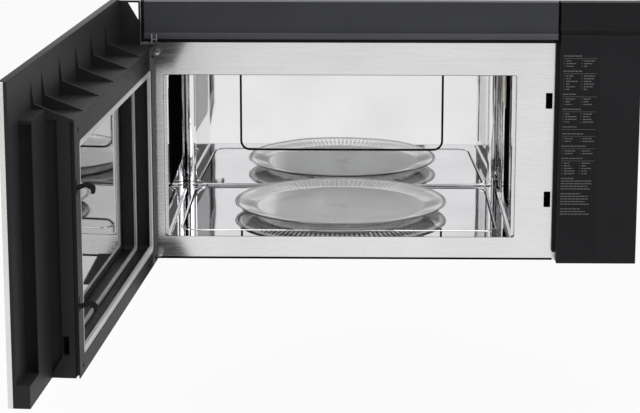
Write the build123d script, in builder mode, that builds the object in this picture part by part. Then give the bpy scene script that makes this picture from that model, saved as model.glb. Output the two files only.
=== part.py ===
from build123d import *
import os
from math import pi, sin, cos

os.makedirs("parts", exist_ok=True)

# Over-the-range microwave with its full-width door standing open. Millimetres.
# Frame: origin at the middle of the wall face's bottom edge, +X to the right as seen from the
# room, +Y into the wall, +Z up. The cavity opens towards -Y.
# The door pieces are built in the closed position and then swung open about the hinge axis.

# ---------------------------------------------------------------- driving dimensions
# Body
BODY_WIDTH = 759.0
BODY_HEIGHT = 404.0
BODY_DEPTH = 392.0  # wall face to front flange
FACE_STEP = 22.0  # fascia and control cover stand proud of the flange by this
SHEET = 0.8  # case and cavity sheet
WALL_PLATE = 1.2
PLATE_MARGIN = 8.0  # wall plate is smaller than the case by this
MOULDING = 2.5  # wall of the plastic mouldings
RUNNING = 0.05  # radial clearance of a shaft or pin in its bore
SEAT = 0.3  # clearance between pieces that move past each other

# Cavity
CAVITY_INSET = 38.3  # case side to cavity side
LATCH_BAND = 68.7  # cavity side to control section, room for the interlock
CAVITY_FLOOR = 36.0
VENT_SPACE = 102.0  # cavity ceiling to case top, room for the blower
CAVITY_BACK = 20.0  # wall face to cavity back
OPENING_FLARE = 4.6  # opening is this much wider than the cavity at each side
OPENING_DROP = 13.0  # cavity ceiling to the opening's top edge
OPENING_R = 3.0
EDGE_INSET = 3.0  # turned-in edges stop short of the opening's corners by this
FLARE_DEPTH = 5.0
RECESS_R = 125.0  # roller track pressed into the floor
RECESS_DEPTH = 9.0
EMBOSS = 3.0  # pad pressed forward out of the back wall
EMBOSS_SIDE = 15.6
EMBOSS_FOOT = 3.7
EMBOSS_R = 20.0
PANEL_SIDE = 92.0  # cavity side to the rounded panel inside the pad, edged by a groove
PANEL_FOOT = 62.0
PANEL_R = 17.0
PANEL_GROOVE = 4.0
GROOVE_DEPTH = 1.5
VENT_HOLE_R = 1.6
VENT_PITCH = 6.0
VENT_COLUMNS = 8
VENT_ROWS = 6
LAMP_PATCH_REACH = 60.0  # liner front to the patch of holes at the lamp
LAMP_PATCH_DROP = 62.0  # ceiling to the same
AIR_PATCH_REACH = 24.0  # the same for the patch that lets the fan's air in
AIR_PATCH_DROP = 130.0

# Front flange, fascia and control section
FLANGE_DROP = 65.0  # case top to the flange's top edge
FLANGE_HIDDEN = 10.7  # flange runs on behind the seam strip and the control cover
SEAM_WIDTH = 6.2
SEAM_FOOT = 13.5
SEAM_STAND = 6.0
CONTROL_WIDTH = 122.0
CONTROL_DROP = 49.3  # case top to the control cover's top
LUG_INSET = 40.0
LUG_WIDTH = 6.0
LUG_HEIGHT = 14.0
LUG_FRONT = 4.0
LUG_REAR = 8.0
CAP_HEIGHT = 44.0
CAP_INSET = 0.8
FASCIA_INSET = 7.5
FASCIA_GAP = 3.9  # fascia to corner cap
FASCIA_HEIGHT = 56.4
LIP_HEIGHT = 10.1
LIP_LEAN = 2.5
FILM_WIDTH = 59.0
FILM_FOOT = 8.0
FILM_DROP = 4.0
FILM = 0.3
LOUVRE = 2.0
LOUVRE_SLOT_WIDTH = 16.0
LOUVRE_SLOT_MARGIN = 9.6
LOUVRE_PITCH = 25.0
CLIP_INSET = 18.5
CLIP_WIDTH = 8.5
CLIP_WIRE = 1.5
CLIP_RISE = 14.0

# Door
DOOR_FOOT = 2.0
DOOR_RISE = 2.0  # door top above case top
DOOR_END_GAP = 0.5  # hinge end of the door to the case side
DOOR_FREE_GAP = 1.0  # free end of the door to the case side
DOOR_GAP = 2.0  # block face to flange when closed
DOOR_THICK = 64.5
THIN_THICK = 28.0  # door over the control section
THIN_DROP = 56.0  # door top to the raised part over the control section
TROUGH_THICK = 11.0
SKIN_DEPTH = 6.5
SKIN = 1.2
BLOCK_SHORT = 8.5  # free end of the block to the control section
BLOCK_DROP = 2.0  # flange top to block top
WINDOW_INSET = 37.0  # hinge end to window
WINDOW_END = 30.0  # window to the block's free end
WINDOW_FOOT = 24.0
WINDOW_DROP = 32.0
WINDOW_R = 9.0
WINDOW_RECESS = 26.0
BEZEL = 2.0
BEZEL_SIDE = 6.0
BEZEL_TOP = 14.0
GLASS = 4.0
GLASS_LAP = 8.0  # outer pane behind the skin's window edge
TOUCH_GLASS = 2.0
TOUCH_LAP = 5.0
SCREEN = 1.0
LEDGE = 4.0
CHOKE_DEPTH = 17.0
CHANNEL_RECESS = 6.0
COVER_THICK = 5.5
COVER_LIP = 1.5
COVER_GROOVE = 3.0
CORNER_CUT = 4.5  # hinge-side corner of the block, cut back to swing past the flange
NOTCH_FOOT = 31.6  # notch in the choke's free end
NOTCH_TOP = 57.4
NOTCH_WIDTH = 9.0
GRIP_PANEL = 54.0  # flat edge beside the raised part, at the free end
GRIP_FOOT = 31.0  # end block that closes the grip at the bottom
POCKET_WIDTH = 12.0  # finger groove undercut into the raised part
POCKET_LIP = 1.5
POCKET_DROP = 5.0
GUSSET_FIRST = 120.0
GUSSET_PITCH = 110.0
GUSSET_THICK = 2.5
GUSSET_RIB = 3.5
GUSSET_DROP = 18.0  # door top to the gussets' tips
GUSSET_RISE = 20.0  # block top to the gussets' kink
END_WALL = 3.0
END_WALL_REACH = 42.5
END_WALL_DROP = 2.0
END_WINDOW_EDGE = 2.0  # triangular window to the wall's free edge
END_WINDOW_DROP = 3.0
END_WINDOW_WIDTH = 16.0
END_WINDOW_HEIGHT = 27.0
TOUCH_START = 15.5  # block to touch area
TOUCH_INSET = 30.0  # touch area to free end
TOUCH_FOOT = 60.0
TOUCH_DROP = 76.0
DISPLAY_WIDTH = 60.0
DISPLAY_HEIGHT = 26.0
DISPLAY_DROP = 40.0
DISPLAY_THICK = 1.4
BOARD = 1.6

# Hinge and latch
HINGE_FROM_END = 7.5  # axis to the hinge end of the door
HINGE_FROM_FACE = 13.8  # axis to the block face
OPEN_ANGLE = 94.0
PIN_R = 3.0
PIN_LENGTH = 14.0
CARRIER_REACH = 12.0  # hinge axis to the inner edge of the pin's carrier
TONGUE = 3.0
TONGUE_LOW = 10.0
TONGUE_DROP = 13.0  # block top to the upper tongue
TONGUE_REACH = 21.0
TONGUE_NOSE = 8.0
TONGUE_HEEL = 4.0
NOTCH_R = 28.0
NOTCH_GAP = 2.0
BRACKET_TALL = 30.0
BRACKET_SHEET = 2.0
HOOK_FROM_END = 5.5  # hook centre to the block's free end
HOOK_THICK = 3.0
HOOK_HEIGHT = 15.0
HOOK_REACH = 24.0
HOOK_ARM = 6.5
HOOK_NOSE = 6.0
HOOK_CHAMFER = 1.5
HOOK_LOW = 96.2
HOOK_DROP = 86.8  # block top to the upper hook
LATCH_TRAVEL = 4.0
PAWL_THICK = 4.0
SLOT_WIDTH = 10.0
SLOT_HEIGHT = 24.4
SPRING_LENGTH = 20.0
SPRING_R = 2.4
SPRING_WIRE = 0.4
SPRING_TURNS = 7
LOCK_WALL = 2.0
LOCK_MARGIN = 4.0
LOCK_WEB = 4.0
PLUNGER_R = 3.0
PLUNGER_LENGTH = 19.5
PLUNGER_TRAVEL = 3.5
COLLAR = 2.0
COLLAR_STEP = 1.2
SWITCH_DEPTH = 15.0
SWITCH_HEIGHT = 22.0
SWITCH_GAP = 4.0
TERMINAL = 5.0

# Microwave source
GUIDE_SETBACK = 10.0  # turntable axis to waveguide axis
GUIDE_DROP = 61.0  # cavity ceiling to waveguide axis
GUIDE_LENGTH = 80.0
GUIDE_HEIGHT = 64.0
GUIDE_DEPTH = 38.0
GUIDE_MARGIN = 10.0
TUBE_PLATE_WIDTH = 88.0
TUBE_PLATE_HEIGHT = 96.0
TUBE_PLATE = 3.0
TUBE_DEPTH = 60.0
TUBE_HEIGHT = 81.0
ANODE_R = 19.0
ANTENNA_R = 9.0
ANTENNA_REACH = 24.0
ANTENNA_GAP = 2.0
FINS = 8
FIN = 1.0
FIN_PITCH = 5.5
FIN_START = 10.0
FIN_WIDTH = 80.0
FIN_HEIGHT = 60.0
CHOKE_BOX_WIDTH = 50.0
CHOKE_BOX_DEPTH = 26.0
CORE_INSET = 43.5  # case side to transformer core
CORE_WIDTH = 100.0
CORE_DEPTH = 72.0
CORE_REAR = 118.0  # wall face to transformer core
CORE_HEIGHT = 84.0
CORE_LEG = 18.0
CORE_YOKE = 16.0
COIL_OVERHANG = 14.0
CORE_FOOT = 8.0
CORE_FOOT_SHEET = 2.0
CAN_INSET = 3.5
CAN_WIDTH = 30.0
CAN_HEIGHT = 52.0
CAN_LENGTH = 100.0
CAN_REAR = 150.0
CAN_R = 12.0
CAN_STRAP = 20.0
CAN_STRAP_SHEET = 3.0
TAB_LENGTH = 12.0
TAB_WIDTH = 6.0
TAB = 1.0
TAB_FOOT = 18.0
TAB_PITCH = 16.0
BOARD_STANDOFF = 6.0
BOARD_FRONT = 14.0  # case front edge to power board
BOARD_LENGTH = 160.0
BOARD_FOOT = 70.0
BOARD_TOP_DROP = 64.0
POST_R = 3.0
POST_INSET = 8.0
RELAYS = 4
RELAY_PITCH = 32.0
RELAY_HEIGHT = 24.0
RELAY_WIDTH = 20.0
RELAY_STAND = 16.0
PART_INSET = 20.0  # board edge to the first parts on it
SUPPLY_SIDE = 40.0
SUPPLY_STAND = 34.0
BUFFER_R = 11.0
BUFFER_STAND = 28.0
HEADER_WIDTH = 12.0
HEADER_LENGTH = 170.0
HEADER_STAND = 10.0
LAMP_PLATE = 3.0
LAMP_PLATE_WIDTH = 60.0
LAMP_PLATE_HEIGHT = 56.0
LAMP_SOCKET = 12.0
LAMP_SOCKET_HEIGHT = 30.0
LAMP_SOCKET_DEPTH = 23.0
BULB_R = 9.0
BULB_LENGTH = 38.0

# Turntable
TABLE_CLEAR = 14.0  # plate rim to the cavity's back
TABLE_THICK = 4.0
TABLE_RISE = 12.5
TABLE_RIM = 34.0  # width of the sloping rim
TABLE_LIP = 4.0
LUG_LONG = 7.0
LUG_WIDE = 5.0
LUG_DEEP = 3.0
ROLLER_R = 6.5
ROLLER_WIDTH = 5.0
ROLLERS = 3
RING_R = 101.0
RING_WIDTH = 6.0
RING_THICK = 5.0
AXLE_R = 1.6
AXLE_LIFT = 0.2
AXLE_HEAD = 1.0
PLATE_LIFT = 0.5
SHAFT_R = 3.5
SHAFT_GAP = 2.0
SHAFT_FOOT = 4.0
HUB_R = 8.0
HUB_FOOT = 1.0
COUPLER_R = 18.0
COUPLER_LOBE = 6.0
COUPLER_THICK = 5.0
MOTOR_R = 24.0
MOTOR_HEIGHT = 17.0
MOTOR_EAR = 9.0
MOTOR_EAR_WIDTH = 12.0
MOTOR_EAR_SHEET = 1.5

# Air system
DUCT_WIDTH = 253.0
DUCT_DEPTH = 82.0
DUCT_RISE = 26.0
DUCT_FLANGE = 12.0
DUCT_LEDGE = 2.0  # hole in the case top is smaller than the collar by this all round
FLAP_PIN_R = 1.5
FLAP_LIFT = 8.0
FLAP_SETBACK = 4.0
FLAP_GAP = 2.0
SCROLL_GAP = 6.4
SCROLL_WALL = 1.5
SCROLL_INNER = 50.0
SCROLL_LENGTH = 76.0
SCROLL_FOOT = 30.0
THROAT_EDGE = 6.0
WHEEL_GAP = 6.0
WHEEL_END_GAP = 4.0
WHEEL_DISC = 2.0
WHEEL_BLADES = 20
BLADE_CHORD = 7.0
BLADE = 1.2
BLADE_INSET = 4.0
INLET_INSET = 11.0
BLOWER_Y = -92.0
BLOWER_MOTOR_R = 36.0
BLOWER_MOTOR_LENGTH = 76.0
BLOWER_FOOT_WIDTH = 40.0
BLOWER_FOOT_DEPTH = 50.0
BLOWER_SHAFT_R = 4.0
FAN_R = 56.0
FAN_INSET = 99.5
FAN_DROP = 119.0
FAN_SETBACK = 44.0
FAN_TIP = 4.0
FAN_SHAFT_R = 2.0
FAN_SHAFT = 24.0
FAN_HUB_R = 15.0
FAN_HUB = 16.0
FAN_BLADES = 5
FAN_BLADE = 1.8
FAN_BLADE_LENGTH = 44.0
FAN_BLADE_CHORD = 34.0
FAN_BLADE_MIDDLE = 34.0
FAN_BLADE_PITCH = 28.0
SHROUD_MARGIN = 8.0
SHROUD_DEPTH = 28.0
SHROUD_POST_R = 4.0
FAN_MOTOR_WIDTH = 48.0
FAN_MOTOR_HEIGHT = 60.0
FAN_MOTOR_DEPTH = 18.0
FAN_MOTOR_GAP = 2.0
FAN_ARM = 3.0
FAN_ARM_HEIGHT = 12.0
FILTER_WIDTH = 130.0
FILTER_THICK = 8.0
FILTER_EDGE = 8.0
FILTER_SKIN = 2.0
FILTER_REAR = -32.0
FILTER_GAP = 16.0  # lamp cover to the filters' front edge
FILTER_OFFSET = 188.0  # filter centre to cavity centre
LAMP_COVER_WIDTH = 300.0
LAMP_COVER_LENGTH = 52.0
LAMP_COVER_FRONT = 22.0
LAMP_COVER_THICK = 2.4
PANEL_CLEAR = 1.5  # a filter or lamp cover to the ears beside it
PANEL_REACH = 5.0  # opening in the pan beyond the panel's ends
PIVOT_R = 1.5
EAR = 3.0
COOKTOP_LAMP_PITCH = 200.0
COOKTOP_BULB_R = 10.0
COOKTOP_BULB = 46.0
COOKTOP_SOCKET = 12.0
COOKTOP_SOCKET_WIDTH = 26.0
COOKTOP_SOCKET_HEIGHT = 28.0
CHARCOAL_WIDTH = 250.0
CHARCOAL_THICK = 10.0
CHARCOAL_GAP = 8.4

# Fixings
WALL_BOLT_X = 600.0
WALL_BOLT_Z = 280.0
WALL_BOLT_R = 3.5
TOP_BOLT_X = 534.0
TOP_BOLT_FRONT = 62.0
TOP_BOLT_R = 3.3
GLAND_INSET = 79.5
GLAND_Y = -80.0
GLAND_R = 11.0
GLAND_BORE = 4.5
GLAND_HEAD = 4.0
GLAND_BARREL = 9.0
GLAND_NUT = 4.0
SCREW_R = 2.0
SCREW_HEAD_R = 4.0
SCREW_HEAD = 2.4
SCREW_LENGTH = 9.0
SCREW_EDGE = 30.0
SCREW_FOOT = 22.0
SCREW_DROP = 24.0

# ---------------------------------------------------------------- derived places
LEFT, RIGHT = -BODY_WIDTH / 2, BODY_WIDTH / 2
FLANGE_Y = -BODY_DEPTH
FACE_Y = FLANGE_Y - FACE_STEP
FRAME_Y = FLANGE_Y + SHEET  # back of the flange sheet, front edge of the case
BACK_Y = -WALL_PLATE - SHEET  # front of the rear plate
TOP_Z = BODY_HEIGHT - SHEET

CONTROL_X = RIGHT - CONTROL_WIDTH
CONTROL_TOP = BODY_HEIGHT - CONTROL_DROP
FLANGE_RIGHT = CONTROL_X - SEAM_WIDTH
FLANGE_TOP = BODY_HEIGHT - FLANGE_DROP
CAP_X = CONTROL_X - CAP_INSET
CAP_FOOT = BODY_HEIGHT - CAP_HEIGHT
FASCIA_X = LEFT + FASCIA_INSET, CAP_X - FASCIA_GAP
FASCIA_FOOT = BODY_HEIGHT - FASCIA_HEIGHT
LIP_TOP = FASCIA_FOOT + LIP_HEIGHT

CAVITY_X = LEFT + CAVITY_INSET, CONTROL_X - LATCH_BAND
CAVITY_Z = CAVITY_FLOOR, BODY_HEIGHT - VENT_SPACE
CAVITY_MID = (CAVITY_X[0] + CAVITY_X[1]) / 2
OPENING_X = CAVITY_X[0] - OPENING_FLARE, CAVITY_X[1] + OPENING_FLARE
OPENING_Z = CAVITY_FLOOR, CAVITY_Z[1] - OPENING_DROP
LINER_X = CAVITY_X[0] - SHEET, CAVITY_X[1] + SHEET
LINER_Z = CAVITY_Z[0] - SHEET, CAVITY_Z[1] + SHEET
LINER_FRONT = FRAME_Y + FLARE_DEPTH
TRACK_Z = CAVITY_FLOOR - RECESS_DEPTH
TABLE_Y = (FLANGE_Y - CAVITY_BACK) / 2
TABLE_R = (BODY_DEPTH - CAVITY_BACK) / 2 - TABLE_CLEAR

DOOR_X = LEFT + DOOR_END_GAP, RIGHT - DOOR_FREE_GAP
DOOR_Z = DOOR_FOOT, BODY_HEIGHT + DOOR_RISE
BLOCK_Y = FLANGE_Y - DOOR_GAP
OUTER_Y = BLOCK_Y - DOOR_THICK
SHELL_Y = OUTER_Y + SKIN_DEPTH
TROUGH_Y = OUTER_Y + TROUGH_THICK
THIN_Y = OUTER_Y + THIN_THICK
THIN_TOP = DOOR_Z[1] - THIN_DROP
COVER_Y = BLOCK_Y - COVER_THICK
CHOKE_Y = COVER_Y - CHOKE_DEPTH
BLOCK_X = DOOR_X[0], CONTROL_X - BLOCK_SHORT
BLOCK_Z = DOOR_FOOT, FLANGE_TOP - BLOCK_DROP
CHOKE_Z = DOOR_FOOT, BLOCK_Z[1] - MOULDING
WINDOW_X = DOOR_X[0] + WINDOW_INSET, BLOCK_X[1] - WINDOW_END
WINDOW_Z = WINDOW_FOOT, BLOCK_Z[1] - WINDOW_DROP
BEZEL_Y = BLOCK_Y - WINDOW_RECESS
PANE_Y = BEZEL_Y - BEZEL
MESH_Y = PANE_Y - GLASS
LEDGE_Y = MESH_Y - SCREEN
TOUCH_X = BLOCK_X[1] + TOUCH_START, DOOR_X[1] - TOUCH_INSET
TOUCH_Z = TOUCH_FOOT, DOOR_Z[1] - TOUCH_DROP

HINGE_X = DOOR_X[0] + HINGE_FROM_END
HINGE_Y = BLOCK_Y - HINGE_FROM_FACE
TONGUES = TONGUE_LOW, BLOCK_Z[1] - TONGUE_DROP
HOOK_X = BLOCK_X[1] - HOOK_FROM_END
HOOKS = HOOK_LOW, BLOCK_Z[1] - HOOK_DROP
PAWL_X = HOOK_X - PAWL_THICK / 2, HOOK_X + PAWL_THICK / 2
PAWL_Z = HOOKS[0] - HOOK_HEIGHT, HOOKS[1] + HOOK_HEIGHT
PAWL_Y = CHOKE_Y + SHEET + SEAT, COVER_Y - SEAT
HOOK_TIP = BLOCK_Y + HOOK_REACH
SPRING_Z = PAWL_Z[1], PAWL_Z[1] + SPRING_LENGTH

SCROLL_R = (VENT_SPACE - 2 * SHEET - SCROLL_GAP) / 2
SCROLL_Z = LINER_Z[1] + SCROLL_R
WHEEL_R = SCROLL_R - WHEEL_GAP
INLET_R = WHEEL_R - INLET_INSET
DUCT_Y = BLOWER_Y - SCROLL_R / 2
FAN_X, FAN_Y, FAN_Z = RIGHT - FAN_INSET, BACK_Y - FAN_SETBACK, BODY_HEIGHT - FAN_DROP
GLAND_X = RIGHT - GLAND_INSET
LAMP_Y = FLANGE_Y + LAMP_COVER_FRONT, FLANGE_Y + LAMP_COVER_FRONT + LAMP_COVER_LENGTH
FILTER_Y = LAMP_Y[1] + FILTER_GAP, FILTER_REAR


# ---------------------------------------------------------------- small helpers
def block(x, y, z, mode=Mode.ADD):
    """A box between the pairs of limits x, y and z, in the part being built."""
    with Locations(((x[0] + x[1]) / 2, (y[0] + y[1]) / 2, (z[0] + z[1]) / 2)):
        Box(x[1] - x[0], y[1] - y[0], z[1] - z[0], mode=mode)


def rod(axis, centre, span, radius, mode=Mode.ADD):
    """A round bar along X, Y or Z: centre gives the two other coordinates, span the two ends."""
    middle, turn = {
        "X": ((sum(span) / 2, centre[0], centre[1]), (0, 90, 0)),
        "Y": ((centre[0], sum(span) / 2, centre[1]), (90, 0, 0)),
        "Z": ((centre[0], centre[1], sum(span) / 2), (0, 0, 0)),
    }[axis]
    with Locations(middle):
        Cylinder(radius, span[1] - span[0], rotation=turn, mode=mode)


def slab(x, z, y, radius, mode=Mode.ADD):
    """An upright plate between the limits x, z and y, with its four corners rounded."""
    with BuildSketch(Plane.XZ.offset(-y[1])) as outline:
        with Locations(((x[0] + x[1]) / 2, (z[0] + z[1]) / 2)):
            RectangleRounded(x[1] - x[0], z[1] - z[0], radius)
    extrude(outline.sketch, amount=y[1] - y[0], mode=mode)


def grow(limits, by):
    """Limits moved outwards by a distance."""
    return limits[0] - by, limits[1] + by


def around(middle, width):
    """Limits centred on a coordinate."""
    return middle - width / 2, middle + width / 2


# ---------------------------------------------------------------- case
CASE_SCREWS = [
    (side, screw_y, screw_z)
    for side in (-1, 1)
    for screw_y in (FRAME_Y + SCREW_EDGE, BACK_Y - SCREW_EDGE)
    for screw_z in (SCREW_FOOT, BODY_HEIGHT - SCREW_DROP)
]

with BuildPart() as outer_case:
    block((LEFT, RIGHT), (FRAME_Y, BACK_Y), (0, BODY_HEIGHT))
    block(grow((LEFT, RIGHT), -SHEET), (FRAME_Y, BACK_Y), (-SHEET, TOP_Z), Mode.SUBTRACT)
    block(grow(around(0, DUCT_WIDTH), -DUCT_LEDGE), grow(around(DUCT_Y, DUCT_DEPTH), -DUCT_LEDGE),
          (TOP_Z, BODY_HEIGHT), Mode.SUBTRACT)
    rod("Z", (GLAND_X, GLAND_Y), (TOP_Z, BODY_HEIGHT), GLAND_R, Mode.SUBTRACT)
    for bolt_x in around(0, TOP_BOLT_X):
        rod("Z", (bolt_x, FLANGE_Y + TOP_BOLT_FRONT), (TOP_Z, BODY_HEIGHT), TOP_BOLT_R, Mode.SUBTRACT)
    for side, screw_y, screw_z in CASE_SCREWS:
        rod("X", (screw_y, screw_z), around(side * RIGHT, 4 * SHEET), SCREW_R, Mode.SUBTRACT)

with BuildPart() as case_screws:
    for side, screw_y, screw_z in CASE_SCREWS:
        ends = sorted((side * (RIGHT - SCREW_LENGTH), side * RIGHT))
        rod("X", (screw_y, screw_z), ends, SCREW_R)
        head = sorted((side * RIGHT, side * (RIGHT + SCREW_HEAD)))
        rod("X", (screw_y, screw_z), head, SCREW_HEAD_R)

with BuildPart() as rear_plate:
    block(grow((LEFT, RIGHT), -SHEET), (BACK_Y, -WALL_PLATE), (0, TOP_Z))

with BuildPart() as wall_plate:
    block(grow((LEFT, RIGHT), -PLATE_MARGIN), (-WALL_PLATE, 0), (0, BODY_HEIGHT - PLATE_MARGIN))
    for bolt_x in around(0, WALL_BOLT_X):
        for bolt_z in around(BODY_HEIGHT / 2, WALL_BOLT_Z):
            rod("Y", (bolt_x, bolt_z), (-WALL_PLATE, 0), WALL_BOLT_R, Mode.SUBTRACT)

FILTER_MIDDLES = around(CAVITY_MID, 2 * FILTER_OFFSET)
LAMP_X = around(CAVITY_MID, LAMP_COVER_WIDTH)
PANEL_PIVOTS = [(around(middle, FILTER_WIDTH), FILTER_Y[1], FILTER_THICK / 2) for middle in FILTER_MIDDLES]
PANEL_PIVOTS.append((LAMP_X, LAMP_Y[1], EAR))

with BuildPart() as base_pan:
    block(grow((LEFT, RIGHT), -SHEET), (FRAME_Y, BACK_Y), (0, SHEET))
    for middle in FILTER_MIDDLES:
        block(grow(around(middle, FILTER_WIDTH), PANEL_CLEAR), grow(FILTER_Y, PANEL_REACH), (0, SHEET),
              Mode.SUBTRACT)
    block(grow(LAMP_X, PANEL_CLEAR), grow(LAMP_Y, PANEL_REACH), (0, SHEET), Mode.SUBTRACT)
    # ears that carry the filters' and the lamp cover's pivots
    for span, pivot_y, pivot_z in PANEL_PIVOTS:
        for ear_x in (span[0] - PANEL_CLEAR - EAR, span[1] + PANEL_CLEAR):
            block((ear_x, ear_x + EAR), around(pivot_y, 4 * EAR), (SHEET, pivot_z + EAR))
            rod("X", (pivot_y, pivot_z), (ear_x, ear_x + EAR), PIVOT_R + RUNNING, Mode.SUBTRACT)

# ---------------------------------------------------------------- cavity
LATCH_SLOTS = [(around(HOOK_X, SLOT_WIDTH), around(hook_z, SLOT_HEIGHT)) for hook_z in HOOKS]

with BuildPart() as front_flange:
    block((LEFT + SHEET, FLANGE_RIGHT + FLANGE_HIDDEN), (FLANGE_Y, FRAME_Y), (0, FLANGE_TOP))
    slab(OPENING_X, OPENING_Z, (FLANGE_Y, FRAME_Y), OPENING_R, Mode.SUBTRACT)
    for slot_x, slot_z in LATCH_SLOTS:
        block(slot_x, (FLANGE_Y, FRAME_Y), slot_z, Mode.SUBTRACT)
    for tongue_z in TONGUES:
        block((LEFT, HINGE_X + TONGUE_REACH + SEAT), (FLANGE_Y, FRAME_Y),
              around(tongue_z, TONGUE + 2 * SEAT), Mode.SUBTRACT)
    # turned-in edges of the opening, stepping down to the cavity sides
    block((OPENING_X[0] - SHEET, OPENING_X[0]), (FRAME_Y, LINER_FRONT), grow(OPENING_Z, -EDGE_INSET))
    block((OPENING_X[0], CAVITY_X[0]), (LINER_FRONT - SHEET, LINER_FRONT), OPENING_Z)
    block((OPENING_X[1], OPENING_X[1] + SHEET), (FRAME_Y, LINER_FRONT), grow(OPENING_Z, -EDGE_INSET))
    block((CAVITY_X[1], OPENING_X[1]), (LINER_FRONT - SHEET, LINER_FRONT), OPENING_Z)

LAMP_AT = LINER_FRONT + LAMP_PATCH_REACH, CAVITY_Z[1] - LAMP_PATCH_DROP
AIR_AT = LINER_FRONT + AIR_PATCH_REACH, CAVITY_Z[1] - AIR_PATCH_DROP
VENT_HOLES = [
    (0, (column - (VENT_COLUMNS - 1) / 2) * VENT_PITCH, (row - (VENT_ROWS - 1) / 2) * VENT_PITCH)
    for column in range(VENT_COLUMNS)
    for row in range(VENT_ROWS)
]
GUIDE_Y = around(TABLE_Y + GUIDE_SETBACK, GUIDE_LENGTH)
GUIDE_Z = around(CAVITY_Z[1] - GUIDE_DROP, GUIDE_HEIGHT)

with BuildPart() as cavity_liner:
    block(LINER_X, (LINER_FRONT, -CAVITY_BACK), LINER_Z)
    block(CAVITY_X, (LINER_FRONT, -CAVITY_BACK), CAVITY_Z, Mode.SUBTRACT)
    # floor strip between the flange and the liner proper
    block(CAVITY_X, (FRAME_Y, LINER_FRONT), (LINER_Z[0], CAVITY_Z[0]))
    # round track for the rollers
    rod("Z", (CAVITY_MID, TABLE_Y), (TRACK_Z - SHEET, CAVITY_FLOOR), RECESS_R + SHEET)
    rod("Z", (CAVITY_MID, TABLE_Y), (TRACK_Z, CAVITY_FLOOR), RECESS_R, Mode.SUBTRACT)
    rod("Z", (CAVITY_MID, TABLE_Y), (TRACK_Z - SHEET, TRACK_Z), SHAFT_R + SHAFT_GAP, Mode.SUBTRACT)
    # waveguide aperture and the two perforated patches, all in the right side
    block((CAVITY_X[1], LINER_X[1]), grow(GUIDE_Y, -GUIDE_MARGIN), grow(GUIDE_Z, -GUIDE_MARGIN), Mode.SUBTRACT)
    for patch_y, patch_z in (LAMP_AT, AIR_AT):
        with Locations((CAVITY_X[1] + SHEET / 2, patch_y, patch_z)):
            with Locations(*VENT_HOLES):
                Cylinder(VENT_HOLE_R, 2 * SHEET, rotation=(0, 90, 0), mode=Mode.SUBTRACT)

with BuildPart() as cavity_back_panel:
    block(LINER_X, (-CAVITY_BACK, SHEET - CAVITY_BACK), LINER_Z)
    pad_x = grow(CAVITY_X, -EMBOSS_SIDE)
    pad_z = grow(CAVITY_Z, -EMBOSS_FOOT)
    pad_y = -CAVITY_BACK - EMBOSS
    slab(pad_x, pad_z, (pad_y, -CAVITY_BACK), EMBOSS_R)
    slab(grow(pad_x, -SHEET), grow(pad_z, -SHEET), (pad_y + SHEET, SHEET - CAVITY_BACK), EMBOSS_R - SHEET,
         Mode.SUBTRACT)
    # rounded panel inside the pad, edged by a pressed groove
    panel_x = grow(CAVITY_X, -PANEL_SIDE)
    panel_z = CAVITY_Z[0] + PANEL_FOOT, CAVITY_Z[1] - 2 * EMBOSS_FOOT
    groove_y = pad_y, pad_y + GROOVE_DEPTH
    web_y = pad_y + SHEET, groove_y[1] + SHEET
    slab(grow(panel_x, SHEET), grow(panel_z, SHEET), web_y, PANEL_R + SHEET)
    slab(panel_x, panel_z, groove_y, PANEL_R, Mode.SUBTRACT)
    slab(grow(panel_x, -PANEL_GROOVE), grow(panel_z, -PANEL_GROOVE), groove_y, PANEL_R - PANEL_GROOVE)
    slab(grow(panel_x, -PANEL_GROOVE - SHEET), grow(panel_z, -PANEL_GROOVE - SHEET), web_y,
         PANEL_R - PANEL_GROOVE - SHEET, Mode.SUBTRACT)

# ---------------------------------------------------------------- front trim
with BuildPart() as vent_fascia:
    with BuildSketch(Plane.YZ.offset(FASCIA_X[0])):
        with BuildLine():
            Polyline(
                (FRAME_Y, BODY_HEIGHT),
                (FACE_Y, BODY_HEIGHT),
                (FACE_Y, LIP_TOP),
                (FACE_Y - LIP_LEAN, FASCIA_FOOT),
                (FACE_Y - LIP_LEAN + MOULDING, FASCIA_FOOT),
                (FACE_Y + MOULDING, LIP_TOP),
                (FACE_Y + MOULDING, BODY_HEIGHT - MOULDING),
                (FRAME_Y - LOUVRE, BODY_HEIGHT - MOULDING),
                (FRAME_Y - LOUVRE, TOP_Z),
                (FRAME_Y, TOP_Z),
                close=True,
            )
        make_face()
    extrude(amount=FASCIA_X[1] - FASCIA_X[0])
    for wall_x in (FASCIA_X[0], FASCIA_X[1] - MOULDING):
        block((wall_x, wall_x + MOULDING), (FACE_Y + MOULDING, FLANGE_Y), (LIP_TOP, BODY_HEIGHT - MOULDING))

LOUVRE_X = LEFT + SHEET, FLANGE_RIGHT
LOUVRE_Y = FLANGE_Y, FLANGE_Y + LOUVRE
LOUVRE_SLOTS = int((LOUVRE_X[1] - LOUVRE_X[0]) / LOUVRE_PITCH) - 1
with BuildPart() as vent_louvre:
    block(LOUVRE_X, LOUVRE_Y, (FLANGE_TOP, TOP_Z - LOUVRE))
    with Locations((sum(LOUVRE_X) / 2, sum(LOUVRE_Y) / 2, (FLANGE_TOP + TOP_Z) / 2)):
        with GridLocations(LOUVRE_PITCH, 0, LOUVRE_SLOTS, 1):
            Box(LOUVRE_SLOT_WIDTH, LOUVRE, TOP_Z - FLANGE_TOP - 2 * LOUVRE_SLOT_MARGIN, mode=Mode.SUBTRACT)

with BuildPart() as charcoal_filter:
    block(around(CAVITY_MID, CHARCOAL_WIDTH), (LOUVRE_Y[1], LOUVRE_Y[1] + CHARCOAL_THICK),
          (LINER_Z[1], TOP_Z - CHARCOAL_GAP))

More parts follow.
